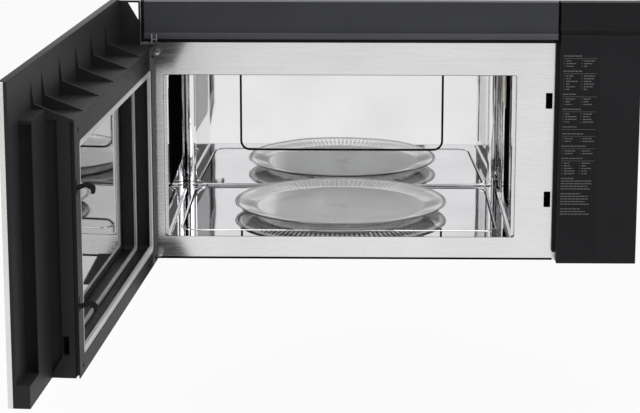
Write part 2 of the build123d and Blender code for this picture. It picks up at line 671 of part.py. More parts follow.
with BuildPart() as corner_cap:
    block((CAP_X, RIGHT), (FACE_Y, FRAME_Y), (CAP_FOOT, BODY_HEIGHT))
    block((CAP_X + MOULDING, RIGHT - MOULDING), (FACE_Y + MOULDING, FRAME_Y),
          (CAP_FOOT + MOULDING, BODY_HEIGHT - MOULDING), Mode.SUBTRACT)
    # recessed web that closes the seam down to the control cover
    block((CONTROL_X, RIGHT - SHEET), (FACE_Y + MOULDING, FACE_Y + 2 * MOULDING), (CONTROL_TOP, CAP_FOOT))

with BuildPart() as control_cover:
    block((CONTROL_X, RIGHT), (FACE_Y, FLANGE_Y), (0, CONTROL_TOP))
    block(grow((CONTROL_X, RIGHT), -MOULDING), (FACE_Y + MOULDING, FLANGE_Y),
          (MOULDING, CONTROL_TOP - MOULDING), Mode.SUBTRACT)
    # lugs that screw to the case's front edge
    for lug_z in (LUG_INSET, CONTROL_TOP - LUG_INSET):
        block((RIGHT - MOULDING - LUG_WIDTH, RIGHT - SHEET), (FLANGE_Y - LUG_FRONT, FRAME_Y + LUG_REAR),
              around(lug_z, LUG_HEIGHT))

with BuildPart() as guide_film:
    block((CONTROL_X + MOULDING, CONTROL_X + MOULDING + FILM_WIDTH), (FACE_Y - FILM, FACE_Y),
          (FILM_FOOT, CONTROL_TOP - FILM_DROP))

with BuildPart() as seam_strip:
    strip_x = FLANGE_RIGHT, CONTROL_X
    strip_y = FLANGE_Y - SEAM_STAND, FLANGE_Y
    slab(strip_x, (SEAM_FOOT, FLANGE_TOP), strip_y, SEAM_WIDTH / 2 - RUNNING)
    block(strip_x, strip_y, (FLANGE_TOP - SEAM_WIDTH, FLANGE_TOP))
    block((FASCIA_X[1], CAP_X), strip_y, (FLANGE_TOP, TOP_Z))

with BuildPart() as fascia_clip:
    clip_x = LEFT + CLIP_INSET, LEFT + CLIP_INSET + CLIP_WIDTH
    clip_y = FACE_Y - LIP_LEAN - CLIP_WIRE, FLANGE_Y
    block(clip_x, clip_y, (FASCIA_FOOT - CLIP_WIRE, FASCIA_FOOT))
    for prong_x in (clip_x[0], clip_x[1] - CLIP_WIRE):
        block((prong_x, prong_x + CLIP_WIRE), (clip_y[0], clip_y[0] + CLIP_WIRE),
              (FASCIA_FOOT - CLIP_RISE / 2, FASCIA_FOOT + CLIP_RISE / 2))

# ---------------------------------------------------------------- hinge brackets on the body
def hinge_bracket(tongue_z, plate_z):
    """A steel bracket behind the flange, with a tongue that carries the door's pin."""
    tongue = around(tongue_z, TONGUE)
    back = FRAME_Y, FRAME_Y + BRACKET_SHEET
    block((LEFT + SHEET, HINGE_X + TONGUE_REACH), back, plate_z)
    with BuildSketch(Plane.XY.offset(tongue[0])) as outline:
        with Locations(((HINGE_X - TONGUE_NOSE + HINGE_X + TONGUE_REACH) / 2, (HINGE_Y + back[1]) / 2)):
            Rectangle(TONGUE_NOSE + TONGUE_REACH, back[1] - HINGE_Y)
        with Locations((HINGE_X, HINGE_Y)):
            Circle(TONGUE_NOSE)
        with Locations((HINGE_X + (TONGUE_REACH - TONGUE_HEEL) / 2, HINGE_Y)):
            Rectangle(TONGUE_REACH - TONGUE_HEEL, 2 * TONGUE_NOSE)
        with Locations((HINGE_X + TONGUE_REACH - TONGUE_NOSE, HINGE_Y)):
            Circle(TONGUE_NOSE)
    extrude(outline.sketch, amount=TONGUE)
    block((LEFT - 1, LEFT + SHEET), (FRAME_Y, back[1] + 1), grow(tongue, 1), Mode.SUBTRACT)
    rod("Z", (HINGE_X, HINGE_Y), grow(tongue, 1), PIN_R + RUNNING, Mode.SUBTRACT)


with BuildPart() as hinge_brackets:
    hinge_bracket(TONGUES[1], (TONGUES[1] - BRACKET_TALL, TONGUES[1] + 2 * TONGUE))
    hinge_bracket(TONGUES[0], (TONGUES[0] - 2 * TONGUE, TONGUES[0] + BRACKET_TALL))

# ---------------------------------------------------------------- interlock
LOCK_X = grow(around(HOOK_X, SLOT_WIDTH), 2 * SEAT)
LOCK_Z = LATCH_SLOTS[0][1][0] - LOCK_MARGIN, LATCH_SLOTS[1][1][1] + LOCK_MARGIN
PLUNGER_Y = HOOK_TIP + 2 * SEAT, HOOK_TIP + 2 * SEAT + PLUNGER_LENGTH
STOP_Y = PLUNGER_Y[0] + PLUNGER_TRAVEL + SEAT, PLUNGER_Y[0] + PLUNGER_TRAVEL + SEAT + LOCK_WEB
SWITCH_Y = PLUNGER_Y[1] + PLUNGER_TRAVEL + SEAT, PLUNGER_Y[1] + PLUNGER_TRAVEL + SEAT + SWITCH_DEPTH
SWITCH_ZS = HOOKS[0], HOOKS[0] + SWITCH_HEIGHT + SWITCH_GAP, HOOKS[1]

with BuildPart() as interlock_bracket:
    block(grow(LOCK_X, LOCK_WALL), (FRAME_Y, SWITCH_Y[1]), grow(LOCK_Z, LOCK_WALL))
    block(LOCK_X, (FRAME_Y, STOP_Y[0]), LOCK_Z, Mode.SUBTRACT)
    block(LOCK_X, (STOP_Y[1], SWITCH_Y[1]), LOCK_Z, Mode.SUBTRACT)
    for hook_z in HOOKS:
        rod("Y", (HOOK_X, hook_z), STOP_Y, PLUNGER_R + RUNNING, Mode.SUBTRACT)

with BuildPart() as interlock_switches:
    for switch_z in SWITCH_ZS:
        block(LOCK_X, SWITCH_Y, around(switch_z, SWITCH_HEIGHT))
        block(around(HOOK_X, TERMINAL / 2), (SWITCH_Y[1], SWITCH_Y[1] + TERMINAL), around(switch_z, TERMINAL))


def plunger(hook_z):
    """A sliding pin that the hook pushes back on to its switch, with a stop collar."""
    rod("Y", (HOOK_X, hook_z), PLUNGER_Y, PLUNGER_R)
    rod("Y", (HOOK_X, hook_z), (STOP_Y[1] + SEAT, STOP_Y[1] + SEAT + COLLAR), PLUNGER_R + COLLAR_STEP)


with BuildPart() as interlock_plunger_top:
    plunger(HOOKS[1])

with BuildPart() as interlock_plunger_bottom:
    plunger(HOOKS[0])

# ---------------------------------------------------------------- microwave source
GUIDE_X = LINER_X[1], LINER_X[1] + GUIDE_DEPTH
GUIDE_AT = sum(GUIDE_Y) / 2, sum(GUIDE_Z) / 2
with BuildPart() as waveguide:
    block(GUIDE_X, GUIDE_Y, GUIDE_Z)
    block((GUIDE_X[0], GUIDE_X[1] - SHEET), grow(GUIDE_Y, -SHEET), grow(GUIDE_Z, -SHEET), Mode.SUBTRACT)
    rod("X", GUIDE_AT, (GUIDE_X[1] - SHEET, GUIDE_X[1]), ANTENNA_R + ANTENNA_GAP, Mode.SUBTRACT)

with BuildPart() as waveguide_cover:
    block((CAVITY_X[1] - SHEET, CAVITY_X[1]), GUIDE_Y, GUIDE_Z)

with BuildPart() as magnetron:
    tube_x = GUIDE_X[1] + TUBE_PLATE, GUIDE_X[1] + TUBE_DEPTH
    block((GUIDE_X[1], tube_x[0]), around(GUIDE_AT[0], TUBE_PLATE_WIDTH), around(GUIDE_AT[1], TUBE_PLATE_HEIGHT))
    rod("X", GUIDE_AT, (GUIDE_X[1] - ANTENNA_REACH, GUIDE_X[1]), ANTENNA_R)
    # yoke round the fins, open at the two sides that the air passes
    block(tube_x, around(GUIDE_AT[0], FIN_WIDTH), around(GUIDE_AT[1], TUBE_HEIGHT))
    block((tube_x[0], tube_x[1] - TUBE_PLATE), around(GUIDE_AT[0], FIN_WIDTH),
          around(GUIDE_AT[1], TUBE_HEIGHT - 2 * TUBE_PLATE), Mode.SUBTRACT)
    rod("X", GUIDE_AT, tube_x, ANODE_R)
    for fin in range(FINS):
        fin_x = GUIDE_X[1] + FIN_START + FIN_PITCH * fin
        block((fin_x, fin_x + FIN), around(GUIDE_AT[0], FIN_WIDTH), around(GUIDE_AT[1], FIN_HEIGHT))
    block((tube_x[1], tube_x[1] + CHOKE_BOX_DEPTH), around(GUIDE_AT[0], CHOKE_BOX_WIDTH),
          around(GUIDE_AT[1], FIN_HEIGHT))

with BuildPart() as transformer:
    core_x = RIGHT - CORE_INSET - CORE_WIDTH, RIGHT - CORE_INSET
    core_y = -CORE_REAR - CORE_DEPTH, -CORE_REAR
    coil_z = SHEET + CORE_YOKE, SHEET + CORE_HEIGHT - CORE_YOKE
    block(core_x, core_y, (SHEET, SHEET + CORE_HEIGHT))
    block(grow(core_x, -CORE_LEG), grow(core_y, COIL_OVERHANG), coil_z)
    block(grow(core_x, CORE_FOOT), grow(core_y, -CORE_FOOT), (SHEET, SHEET + CORE_FOOT_SHEET))

with BuildPart() as capacitor:
    can_x = RIGHT - CAN_INSET - CAN_WIDTH, RIGHT - CAN_INSET
    can_y = -CAN_REAR - CAN_LENGTH, -CAN_REAR
    slab(can_x, (SHEET, SHEET + CAN_HEIGHT), can_y, CAN_R)
    for tab_z in (SHEET + TAB_FOOT, SHEET + TAB_FOOT + TAB_PITCH):
        block(around(sum(can_x) / 2, TAB_WIDTH), (can_y[0] - TAB_LENGTH, can_y[0]), around(tab_z, TAB))
    block(can_x, around(sum(can_y) / 2, CAN_STRAP), (SHEET, SHEET + CAN_STRAP_SHEET))

with BuildPart() as power_board:
    board_x = RIGHT - SHEET - BOARD_STANDOFF - BOARD, RIGHT - SHEET - BOARD_STANDOFF
    board_y = FRAME_Y + BOARD_FRONT, FRAME_Y + BOARD_FRONT + BOARD_LENGTH
    board_z = BOARD_FOOT, BODY_HEIGHT - BOARD_TOP_DROP
    block(board_x, board_y, board_z)
    for post_y in grow(board_y, -POST_INSET):
        for post_z in grow(board_z, -POST_INSET):
            rod("X", (post_y, post_z), (board_x[1], RIGHT - SHEET), POST_R)
    relay_y = board_y[0] + PART_INSET
    for relay in range(RELAYS):
        relay_z = board_z[0] + PART_INSET + RELAY_PITCH * relay
        block((board_x[0] - RELAY_STAND, board_x[0]), (relay_y, relay_y + RELAY_WIDTH),
              (relay_z, relay_z + RELAY_HEIGHT))
    supply_y, supply_z = relay_y + 2 * RELAY_WIDTH, board_z[0] + PART_INSET
    block((board_x[0] - SUPPLY_STAND, board_x[0]), (supply_y, supply_y + SUPPLY_SIDE),
          (supply_z, supply_z + SUPPLY_SIDE))
    rod("X", (supply_y + BUFFER_R, supply_z + 2 * SUPPLY_SIDE), (board_x[0] - BUFFER_STAND, board_x[0]), BUFFER_R)
    header_y = board_y[1] - PART_INSET - HEADER_WIDTH
    block((board_x[0] - HEADER_STAND, board_x[0]), (header_y, header_y + HEADER_WIDTH),
          around(sum(board_z) / 2, HEADER_LENGTH))

with BuildPart() as cavity_lamp:
    lamp_x = LINER_X[1] + LAMP_PLATE, LINER_X[1] + LAMP_PLATE + LAMP_SOCKET_DEPTH
    block((LINER_X[1], lamp_x[0]), around(LAMP_AT[0], LAMP_PLATE_WIDTH), around(LAMP_AT[1], LAMP_PLATE_HEIGHT))
    socket_y = LAMP_AT[0] + LAMP_PLATE_WIDTH / 2 - LAMP_SOCKET, LAMP_AT[0] + LAMP_PLATE_WIDTH / 2
    block(lamp_x, socket_y, around(LAMP_AT[1], LAMP_SOCKET_HEIGHT))
    rod("Y", (sum(lamp_x) / 2, LAMP_AT[1]), (socket_y[0] - BULB_LENGTH, socket_y[0]), BULB_R)

# ---------------------------------------------------------------- cooling fan
SHROUD_SIDE = 2 * (FAN_R + FAN_TIP + SHROUD_MARGIN)
SHROUD_Y = around(FAN_Y, SHROUD_DEPTH)
with BuildPart() as cooling_fan_shroud:
    block(around(FAN_X, SHROUD_SIDE), SHROUD_Y, around(FAN_Z, SHROUD_SIDE))
    rod("Y", (FAN_X, FAN_Z), SHROUD_Y, FAN_R + FAN_TIP, Mode.SUBTRACT)
    for corner_x in around(FAN_X, 2 * (FAN_R + FAN_TIP)):
        for corner_z in around(FAN_Z, 2 * (FAN_R + FAN_TIP)):
            rod("Y", (corner_x, corner_z), (SHROUD_Y[1], BACK_Y), SHROUD_POST_R)

FAN_MOTOR_Y = SHROUD_Y[1] + FAN_MOTOR_GAP, SHROUD_Y[1] + FAN_MOTOR_GAP + FAN_MOTOR_DEPTH
with BuildPart() as cooling_fan_motor:
    block(around(FAN_X, FAN_MOTOR_WIDTH), FAN_MOTOR_Y, around(FAN_Z, FAN_MOTOR_HEIGHT))
    # strap that reaches the shroud on both sides
    block(around(FAN_X, 2 * (FAN_R + 2 * FAN_TIP)), (SHROUD_Y[1], SHROUD_Y[1] + FAN_ARM),
          around(FAN_Z, FAN_ARM_HEIGHT))
    rod("Y", (FAN_X, FAN_Z), (SHROUD_Y[1], FAN_MOTOR_Y[1]), FAN_SHAFT_R + RUNNING, Mode.SUBTRACT)

with BuildPart(Plane(origin=(FAN_X, FAN_Y, FAN_Z), z_dir=(0, 1, 0))) as cooling_fan:
    Cylinder(FAN_HUB_R, FAN_HUB)
    with Locations((0, 0, (FAN_HUB + FAN_SHAFT) / 2)):
        Cylinder(FAN_SHAFT_R, FAN_SHAFT)
    with PolarLocations(FAN_BLADE_MIDDLE, FAN_BLADES):
        Box(FAN_BLADE_LENGTH, FAN_BLADE_CHORD, FAN_BLADE, rotation=(FAN_BLADE_PITCH, 0, 0))

# ---------------------------------------------------------------- exhaust blower
with BuildPart() as blower_housing:
    for side in (-1, 1):
        ends = sorted((side * SCROLL_INNER, side * (SCROLL_INNER + SCROLL_LENGTH)))
        inner = grow(ends, -SCROLL_WALL)
        throat_y = BLOWER_Y - SCROLL_R, BLOWER_Y - THROAT_EDGE
        rod("X", (BLOWER_Y, SCROLL_Z), ends, SCROLL_R)
        block(ends, throat_y, (SCROLL_Z, TOP_Z))
        rod("X", (BLOWER_Y, SCROLL_Z), inner, SCROLL_R - SCROLL_WALL, Mode.SUBTRACT)
        block(inner, grow(throat_y, -SCROLL_WALL), (SCROLL_Z, TOP_Z), Mode.SUBTRACT)
        rod("X", (BLOWER_Y, SCROLL_Z), ends, INLET_R, Mode.SUBTRACT)
        block(ends, around(BLOWER_Y, SCROLL_FOOT), (LINER_Z[1], LINER_Z[1] + SCROLL_WALL))

with BuildPart() as blower_motor:
    motor_x = around(0, BLOWER_MOTOR_LENGTH)
    rod("X", (BLOWER_Y, SCROLL_Z), motor_x, BLOWER_MOTOR_R)
    block(around(0, BLOWER_FOOT_WIDTH), around(BLOWER_Y, BLOWER_FOOT_DEPTH),
          (LINER_Z[1], SCROLL_Z - BLOWER_MOTOR_R / 2))
    rod("X", (BLOWER_Y, SCROLL_Z), motor_x, BLOWER_SHAFT_R + RUNNING, Mode.SUBTRACT)

with BuildPart() as blower_wheels:
    rod("X", (BLOWER_Y, SCROLL_Z), grow(around(0, 2 * (SCROLL_INNER + SCROLL_LENGTH)), -THROAT_EDGE),
        BLOWER_SHAFT_R)
    for side in (-1, 1):
        ends = sorted((side * SCROLL_INNER, side * (SCROLL_INNER + SCROLL_LENGTH)))
        middle = sum(ends) / 2
        rod("X", (BLOWER_Y, SCROLL_Z), around(middle, WHEEL_DISC), WHEEL_R)
        for blade in range(WHEEL_BLADES):
            angle = 2 * pi * blade / WHEEL_BLADES
            blade_y = BLOWER_Y + (WHEEL_R - BLADE_INSET) * cos(angle)
            blade_z = SCROLL_Z + (WHEEL_R - BLADE_INSET) * sin(angle)
            with Locations(Location((middle, blade_y, blade_z), (360 * blade / WHEEL_BLADES, 0, 0))):
                Box(SCROLL_LENGTH - 2 * WHEEL_END_GAP, BLADE_CHORD, BLADE)

COLLAR_X, COLLAR_Y = around(0, DUCT_WIDTH), around(DUCT_Y, DUCT_DEPTH)
COLLAR_Z = BODY_HEIGHT, BODY_HEIGHT + DUCT_RISE
FLAP_AXIS = COLLAR_Y[1] - SHEET - FLAP_SETBACK, BODY_HEIGHT + FLAP_LIFT
with BuildPart() as exhaust_adapter:
    block(grow(COLLAR_X, DUCT_FLANGE), grow(COLLAR_Y, DUCT_FLANGE), (BODY_HEIGHT, BODY_HEIGHT + SHEET))
    block(COLLAR_X, COLLAR_Y, COLLAR_Z)
    block(grow(COLLAR_X, -SHEET), grow(COLLAR_Y, -SHEET), COLLAR_Z, Mode.SUBTRACT)
    rod("X", FLAP_AXIS, COLLAR_X, FLAP_PIN_R + RUNNING, Mode.SUBTRACT)

with BuildPart() as damper_flap:
    rod("X", FLAP_AXIS, COLLAR_X, FLAP_PIN_R)
    block(grow(COLLAR_X, -SHEET - FLAP_GAP), (COLLAR_Y[0] + SHEET + FLAP_GAP, FLAP_AXIS[0]),
          around(FLAP_AXIS[1], SHEET))

# ---------------------------------------------------------------- underside
def grease_filter(middle):
    """A framed mesh pad with a pivot rod at its rear edge."""
    outline = around(middle, FILTER_WIDTH), FILTER_Y, (0, FILTER_THICK)
    block(*outline)
    for face_z in ((0, FILTER_SKIN), (FILTER_THICK - FILTER_SKIN, FILTER_THICK)):
        block(grow(outline[0], -FILTER_EDGE), grow(outline[1], -FILTER_EDGE), face_z, Mode.SUBTRACT)
    rod("X", (FILTER_Y[1], FILTER_THICK / 2), grow(outline[0], PANEL_CLEAR + EAR), PIVOT_R)


with BuildPart() as grease_filter_left:
    grease_filter(FILTER_MIDDLES[0])

with BuildPart() as grease_filter_right:
    grease_filter(FILTER_MIDDLES[1])

with BuildPart() as lamp_cover:
    block(LAMP_X, LAMP_Y, (0, LAMP_COVER_THICK))
    rod("X", (LAMP_Y[1], EAR), grow(LAMP_X, PANEL_CLEAR + EAR), PIVOT_R)
    block(LAMP_X, around(LAMP_Y[1], 2 * PIVOT_R), (LAMP_COVER_THICK / 2, EAR))

with BuildPart() as cooktop_lamps:
    for bulb_x in around(CAVITY_MID, COOKTOP_LAMP_PITCH):
        bulb_y, bulb_z = sum(LAMP_Y) / 2, LINER_Z[0] - COOKTOP_SOCKET_HEIGHT / 2
        bulb = around(bulb_x, COOKTOP_BULB)
        block((bulb[0] - COOKTOP_SOCKET, bulb[0]), around(bulb_y, COOKTOP_SOCKET_WIDTH),
              (LINER_Z[0] - COOKTOP_SOCKET_HEIGHT, LINER_Z[0]))
        rod("X", (bulb_y, bulb_z), bulb, COOKTOP_BULB_R)

# ---------------------------------------------------------------- turntable
with BuildPart() as turntable_motor:
    motor_z = TRACK_Z - SHEET - MOTOR_HEIGHT, TRACK_Z - SHEET
    rod("Z", (CAVITY_MID, TABLE_Y), motor_z, MOTOR_R)
    block(around(CAVITY_MID, 2 * (MOTOR_R + MOTOR_EAR)), around(TABLE_Y, MOTOR_EAR_WIDTH),
          (motor_z[1] - MOTOR_EAR_SHEET, motor_z[1]))
    rod("Z", (CAVITY_MID, TABLE_Y), (motor_z[0] + SHAFT_FOOT, motor_z[1]), SHAFT_R + RUNNING, Mode.SUBTRACT)

PLATE_Z = TRACK_Z + 2 * ROLLER_R + PLATE_LIFT  # underside of the glass plate
with BuildPart() as drive_coupler:
    rod("Z", (CAVITY_MID, TABLE_Y), (motor_z[0] + SHAFT_FOOT + SEAT, TRACK_Z + 2 * HUB_FOOT), SHAFT_R)
    rod("Z", (CAVITY_MID, TABLE_Y), (TRACK_Z + HUB_FOOT, PLATE_Z), HUB_R)
    with BuildSketch(Plane.XY.offset(PLATE_Z - COUPLER_THICK)):
        with Locations((CAVITY_MID, TABLE_Y)):
            with PolarLocations(COUPLER_R / 2, ROLLERS):
                Rectangle(COUPLER_R, COUPLER_LOBE)
    extrude(amount=COUPLER_THICK)

with BuildPart() as glass_plate:
    with BuildSketch(Plane.XZ.offset(-TABLE_Y)):
        with BuildLine():
            Polyline(
                (CAVITY_MID, PLATE_Z),
                (CAVITY_MID + TABLE_R - TABLE_RIM, PLATE_Z),
                (CAVITY_MID + TABLE_R - TABLE_LIP, PLATE_Z + TABLE_RISE - TABLE_THICK / 2),
                (CAVITY_MID + TABLE_R, PLATE_Z + TABLE_RISE - TABLE_THICK / 2),
                (CAVITY_MID + TABLE_R, PLATE_Z + TABLE_RISE),
                (CAVITY_MID + TABLE_R - 1.25 * TABLE_LIP, PLATE_Z + TABLE_RISE),
                (CAVITY_MID + TABLE_R - TABLE_RIM - TABLE_LIP / 4, PLATE_Z + TABLE_THICK),
                (CAVITY_MID, PLATE_Z + TABLE_THICK),
                close=True,
            )
        make_face()
    revolve(axis=Axis((CAVITY_MID, TABLE_Y, 0), (0, 0, 1)))
    # lugs under the plate, between the coupler's lobes
    with BuildSketch(Plane.XY.offset(PLATE_Z - LUG_DEEP)):
        with Locations((CAVITY_MID, TABLE_Y)):
            with PolarLocations(COUPLER_R - LUG_WIDE / 2, ROLLERS, start_angle=180 / ROLLERS):
                Rectangle(LUG_LONG, LUG_WIDE)
    extrude(amount=LUG_DEEP)

AXLE_Z = TRACK_Z + ROLLER_R + AXLE_LIFT
ROLLER_MID = RING_R + RING_WIDTH / 2 + SEAT + ROLLER_WIDTH / 2
with BuildPart(Plane(origin=(CAVITY_MID, TABLE_Y, AXLE_Z))) as roller_ring:
    Cylinder(RING_R + RING_WIDTH / 2, RING_THICK)
    Cylinder(RING_R - RING_WIDTH / 2, RING_THICK, mode=Mode.SUBTRACT)
    with PolarLocations(ROLLER_MID, ROLLERS):
        Cylinder(AXLE_R, ROLLER_WIDTH + 2 * AXLE_HEAD, rotation=(0, 90, 0))
    with PolarLocations(ROLLER_MID + ROLLER_WIDTH / 2 + SEAT + AXLE_HEAD / 2, ROLLERS):
        Cylinder(AXLE_R + AXLE_HEAD, AXLE_HEAD, rotation=(0, 90, 0))


def roller(number):
    """One small wheel on its radial stub axle."""
    with PolarLocations(ROLLER_MID, 1, start_angle=360 / ROLLERS * number):
        Cylinder(ROLLER_R, ROLLER_WIDTH, rotation=(0, 90, 0))
        Cylinder(AXLE_R + RUNNING, ROLLER_WIDTH, rotation=(0, 90, 0), mode=Mode.SUBTRACT)


TRACK_PLANE = Plane(origin=(CAVITY_MID, TABLE_Y, AXLE_Z))
with BuildPart(TRACK_PLANE) as roller_1:
    roller(0)

with BuildPart(TRACK_PLANE) as roller_2:
    roller(1)

with BuildPart(TRACK_PLANE) as roller_3:
    roller(2)

# ---------------------------------------------------------------- cord outlet
with BuildPart() as cord_gland:
    gland_z = BODY_HEIGHT - GLAND_BARREL, BODY_HEIGHT + GLAND_HEAD
    rod("Z", (GLAND_X, GLAND_Y), (BODY_HEIGHT, gland_z[1]), GLAND_R + GLAND_HEAD)
    rod("Z", (GLAND_X, GLAND_Y), gland_z, GLAND_R)
    rod("Z", (GLAND_X, GLAND_Y), (TOP_Z - GLAND_NUT, TOP_Z), GLAND_R + GLAND_HEAD)
    rod("Z", (GLAND_X, GLAND_Y), gland_z, GLAND_BORE, Mode.SUBTRACT)


# ---------------------------------------------------------------- door, built closed
def notches():
    """Clearance round the two hinge tongues."""
    for tongue_z in TONGUES:
        rod("Z", (HINGE_X, HINGE_Y), around(tongue_z, TONGUE + 2 * NOTCH_GAP), NOTCH_R, Mode.SUBTRACT)


with BuildPart() as door_skin:
    block(DOOR_X, (OUTER_Y, SHELL_Y), DOOR_Z)
    block(grow(DOOR_X, -SKIN), (OUTER_Y + SKIN, SHELL_Y), grow(DOOR_Z, -SKIN), Mode.SUBTRACT)
    slab(WINDOW_X, WINDOW_Z, (OUTER_Y, OUTER_Y + SKIN), WINDOW_R, Mode.SUBTRACT)
    slab(TOUCH_X, TOUCH_Z, (OUTER_Y, OUTER_Y + SKIN), WINDOW_R, Mode.SUBTRACT)

with BuildPart() as door_glass:
    pane_y = OUTER_Y + SKIN
    slab(grow(WINDOW_X, GLASS_LAP), grow(WINDOW_Z, GLASS_LAP), (pane_y, pane_y + GLASS), WINDOW_R + LEDGE)
    # a thinner pane over the touch controls
    slab(grow(TOUCH_X, TOUCH_LAP), grow(TOUCH_Z, TOUCH_LAP), (pane_y, pane_y + TOUCH_GLASS), WINDOW_R + LEDGE)

with BuildPart() as touch_board:
    board_face = SHELL_Y - BOARD
    block(TOUCH_X, (board_face, SHELL_Y), TOUCH_Z)
    block(around(sum(TOUCH_X) / 2, DISPLAY_WIDTH), (board_face - DISPLAY_THICK, board_face),
          around(TOUCH_Z[1] - DISPLAY_DROP, DISPLAY_HEIGHT))

with BuildPart() as door_frame:
    # back web over the whole door
    block(DOOR_X, (SHELL_Y, TROUGH_Y), DOOR_Z)
    # hollow ring of the block, set back at the free end
    ring_x = BLOCK_X[0], BLOCK_X[1] - CHANNEL_RECESS
    block(ring_x, (TROUGH_Y, CHOKE_Y), BLOCK_Z)
    block(grow(ring_x, -MOULDING), (TROUGH_Y, CHOKE_Y), grow(BLOCK_Z, -MOULDING), Mode.SUBTRACT)
    slab(grow(WINDOW_X, MOULDING), grow(WINDOW_Z, MOULDING), (TROUGH_Y, CHOKE_Y), WINDOW_R + MOULDING)
    # thin part over the control section
    raised_x = BLOCK_X[1], DOOR_X[1] - GRIP_PANEL
    block(raised_x, (TROUGH_Y, THIN_Y), (DOOR_Z[0], THIN_TOP))
    block((raised_x[1], DOOR_X[1]), (TROUGH_Y, THIN_Y), (DOOR_Z[0], GRIP_FOOT))
    block((ring_x[1] - MOULDING, BLOCK_X[1]), (TROUGH_Y, THIN_Y), BLOCK_Z)
    block((BLOCK_X[1] + MOULDING, raised_x[1] - POCKET_WIDTH - MOULDING), (TROUGH_Y, THIN_Y - MOULDING),
          grow((DOOR_Z[0], THIN_TOP), -MOULDING), Mode.SUBTRACT)
    block((raised_x[1] - POCKET_WIDTH, raised_x[1]), (TROUGH_Y, THIN_Y - POCKET_LIP),
          (GRIP_FOOT, THIN_TOP - POCKET_DROP), Mode.SUBTRACT)
    # ramp that closes the channel beside the block at its foot
    with BuildSketch(Plane.YZ.offset(ring_x[1])):
        with BuildLine():
            Polyline(
                (THIN_Y, BLOCK_Z[0]),
                (CHOKE_Y, BLOCK_Z[0]),
                (CHOKE_Y, NOTCH_FOOT),
                (THIN_Y, BLOCK_Z[0] + CHANNEL_RECESS),
                close=True,
            )
        make_face()
    extrude(amount=CHANNEL_RECESS)
    # top of the block, running forward over the choke to the block's face
    block((BLOCK_X[0] + CORNER_CUT, BLOCK_X[1]), (CHOKE_Y, BLOCK_Y), (CHOKE_Z[1], BLOCK_Z[1]))
    # window well with the ledge that the inner glass sits on
    slab(WINDOW_X, WINDOW_Z, (LEDGE_Y, CHOKE_Y), WINDOW_R, Mode.SUBTRACT)
    slab(grow(WINDOW_X, -LEDGE), grow(WINDOW_Z, -LEDGE), (SHELL_Y, LEDGE_Y), WINDOW_R - LEDGE, Mode.SUBTRACT)
    # gussets across the trough, and the wall at the block's free end
    gusset_count = int((BLOCK_X[1] - BLOCK_X[0] - GUSSET_FIRST) / GUSSET_PITCH) + 1
    gusset_places = [BLOCK_X[0] + GUSSET_FIRST + GUSSET_PITCH * number for number in range(gusset_count)]
    for gusset_x in gusset_places + [BLOCK_X[1] - GUSSET_THICK]:
        with BuildSketch(Plane.YZ.offset(gusset_x)):
            with BuildLine():
                Polyline(
                    (TROUGH_Y, DOOR_Z[1] - GUSSET_DROP),
                    (TROUGH_Y + GUSSET_RIB, BLOCK_Z[1] + GUSSET_RISE),
                    (BLOCK_Y - COVER_LIP, BLOCK_Z[1] + SHEET),
                    (BLOCK_Y - COVER_LIP, BLOCK_Z[1]),
                    (TROUGH_Y, BLOCK_Z[1]),
                    close=True,
                )
            make_face()
        extrude(amount=GUSSET_THICK)
    # wall at the hinge end of the trough, with a triangular window near its top
    wall_y = TROUGH_Y, OUTER_Y + END_WALL_REACH
    wall_top = DOOR_Z[1] - END_WALL_DROP
    block((DOOR_X[0], DOOR_X[0] + END_WALL), wall_y, (BLOCK_Z[1], wall_top))
    corner_y, corner_z = wall_y[1] - END_WINDOW_EDGE, wall_top - END_WINDOW_DROP
    with BuildSketch(Plane.YZ.offset(DOOR_X[0])):
        with BuildLine():
            Polyline(
                (corner_y, corner_z),
                (corner_y - END_WINDOW_WIDTH, corner_z),
                (corner_y, corner_z - END_WINDOW_HEIGHT),
                close=True,
            )
        make_face()
    extrude(amount=END_WALL, mode=Mode.SUBTRACT)
    notches()

with BuildPart() as door_choke:
    choke_y = CHOKE_Y, COVER_Y
    block(BLOCK_X, choke_y, CHOKE_Z)
    block(grow(BLOCK_X, -SHEET), (CHOKE_Y + SHEET, COVER_Y), grow(CHOKE_Z, -SHEET), Mode.SUBTRACT)
    slab(grow(WINDOW_X, SHEET), grow(WINDOW_Z, SHEET), choke_y, WINDOW_R + SHEET)
    slab(WINDOW_X, WINDOW_Z, choke_y, WINDOW_R, Mode.SUBTRACT)
    block(grow((BLOCK_X[1], BLOCK_X[1]), SHEET), (CHOKE_Y, CHOKE_Y + NOTCH_WIDTH), (NOTCH_FOOT, NOTCH_TOP),
          Mode.SUBTRACT)
    # ledge that the latch spring pushes against
    block(around(HOOK_X, SLOT_WIDTH), (CHOKE_Y + SHEET, COVER_Y), (SPRING_Z[1], SPRING_Z[1] + LEDGE))
    notches()

with BuildPart() as choke_cover:
    # thin face, with a groove round its edge behind it; it stops short of the hinge end to swing clear
    block((BLOCK_X[0] + COVER_GROOVE, BLOCK_X[1]), (BLOCK_Y - COVER_LIP, BLOCK_Y), CHOKE_Z)
    block(grow(BLOCK_X, -COVER_GROOVE), (COVER_Y, BLOCK_Y - COVER_LIP),
          (CHOKE_Z[0] + COVER_GROOVE, CHOKE_Z[1]))
    slab(WINDOW_X, WINDOW_Z, (COVER_Y, BLOCK_Y), WINDOW_R, Mode.SUBTRACT)
    for hook_z in HOOKS:
        block(grow(around(HOOK_X, HOOK_THICK), 3 * SEAT), (COVER_Y, BLOCK_Y),
              (hook_z - HOOK_HEIGHT / 2 - 3 * SEAT, hook_z + HOOK_HEIGHT / 2 + LATCH_TRAVEL + 3 * SEAT),
              Mode.SUBTRACT)
    notches()

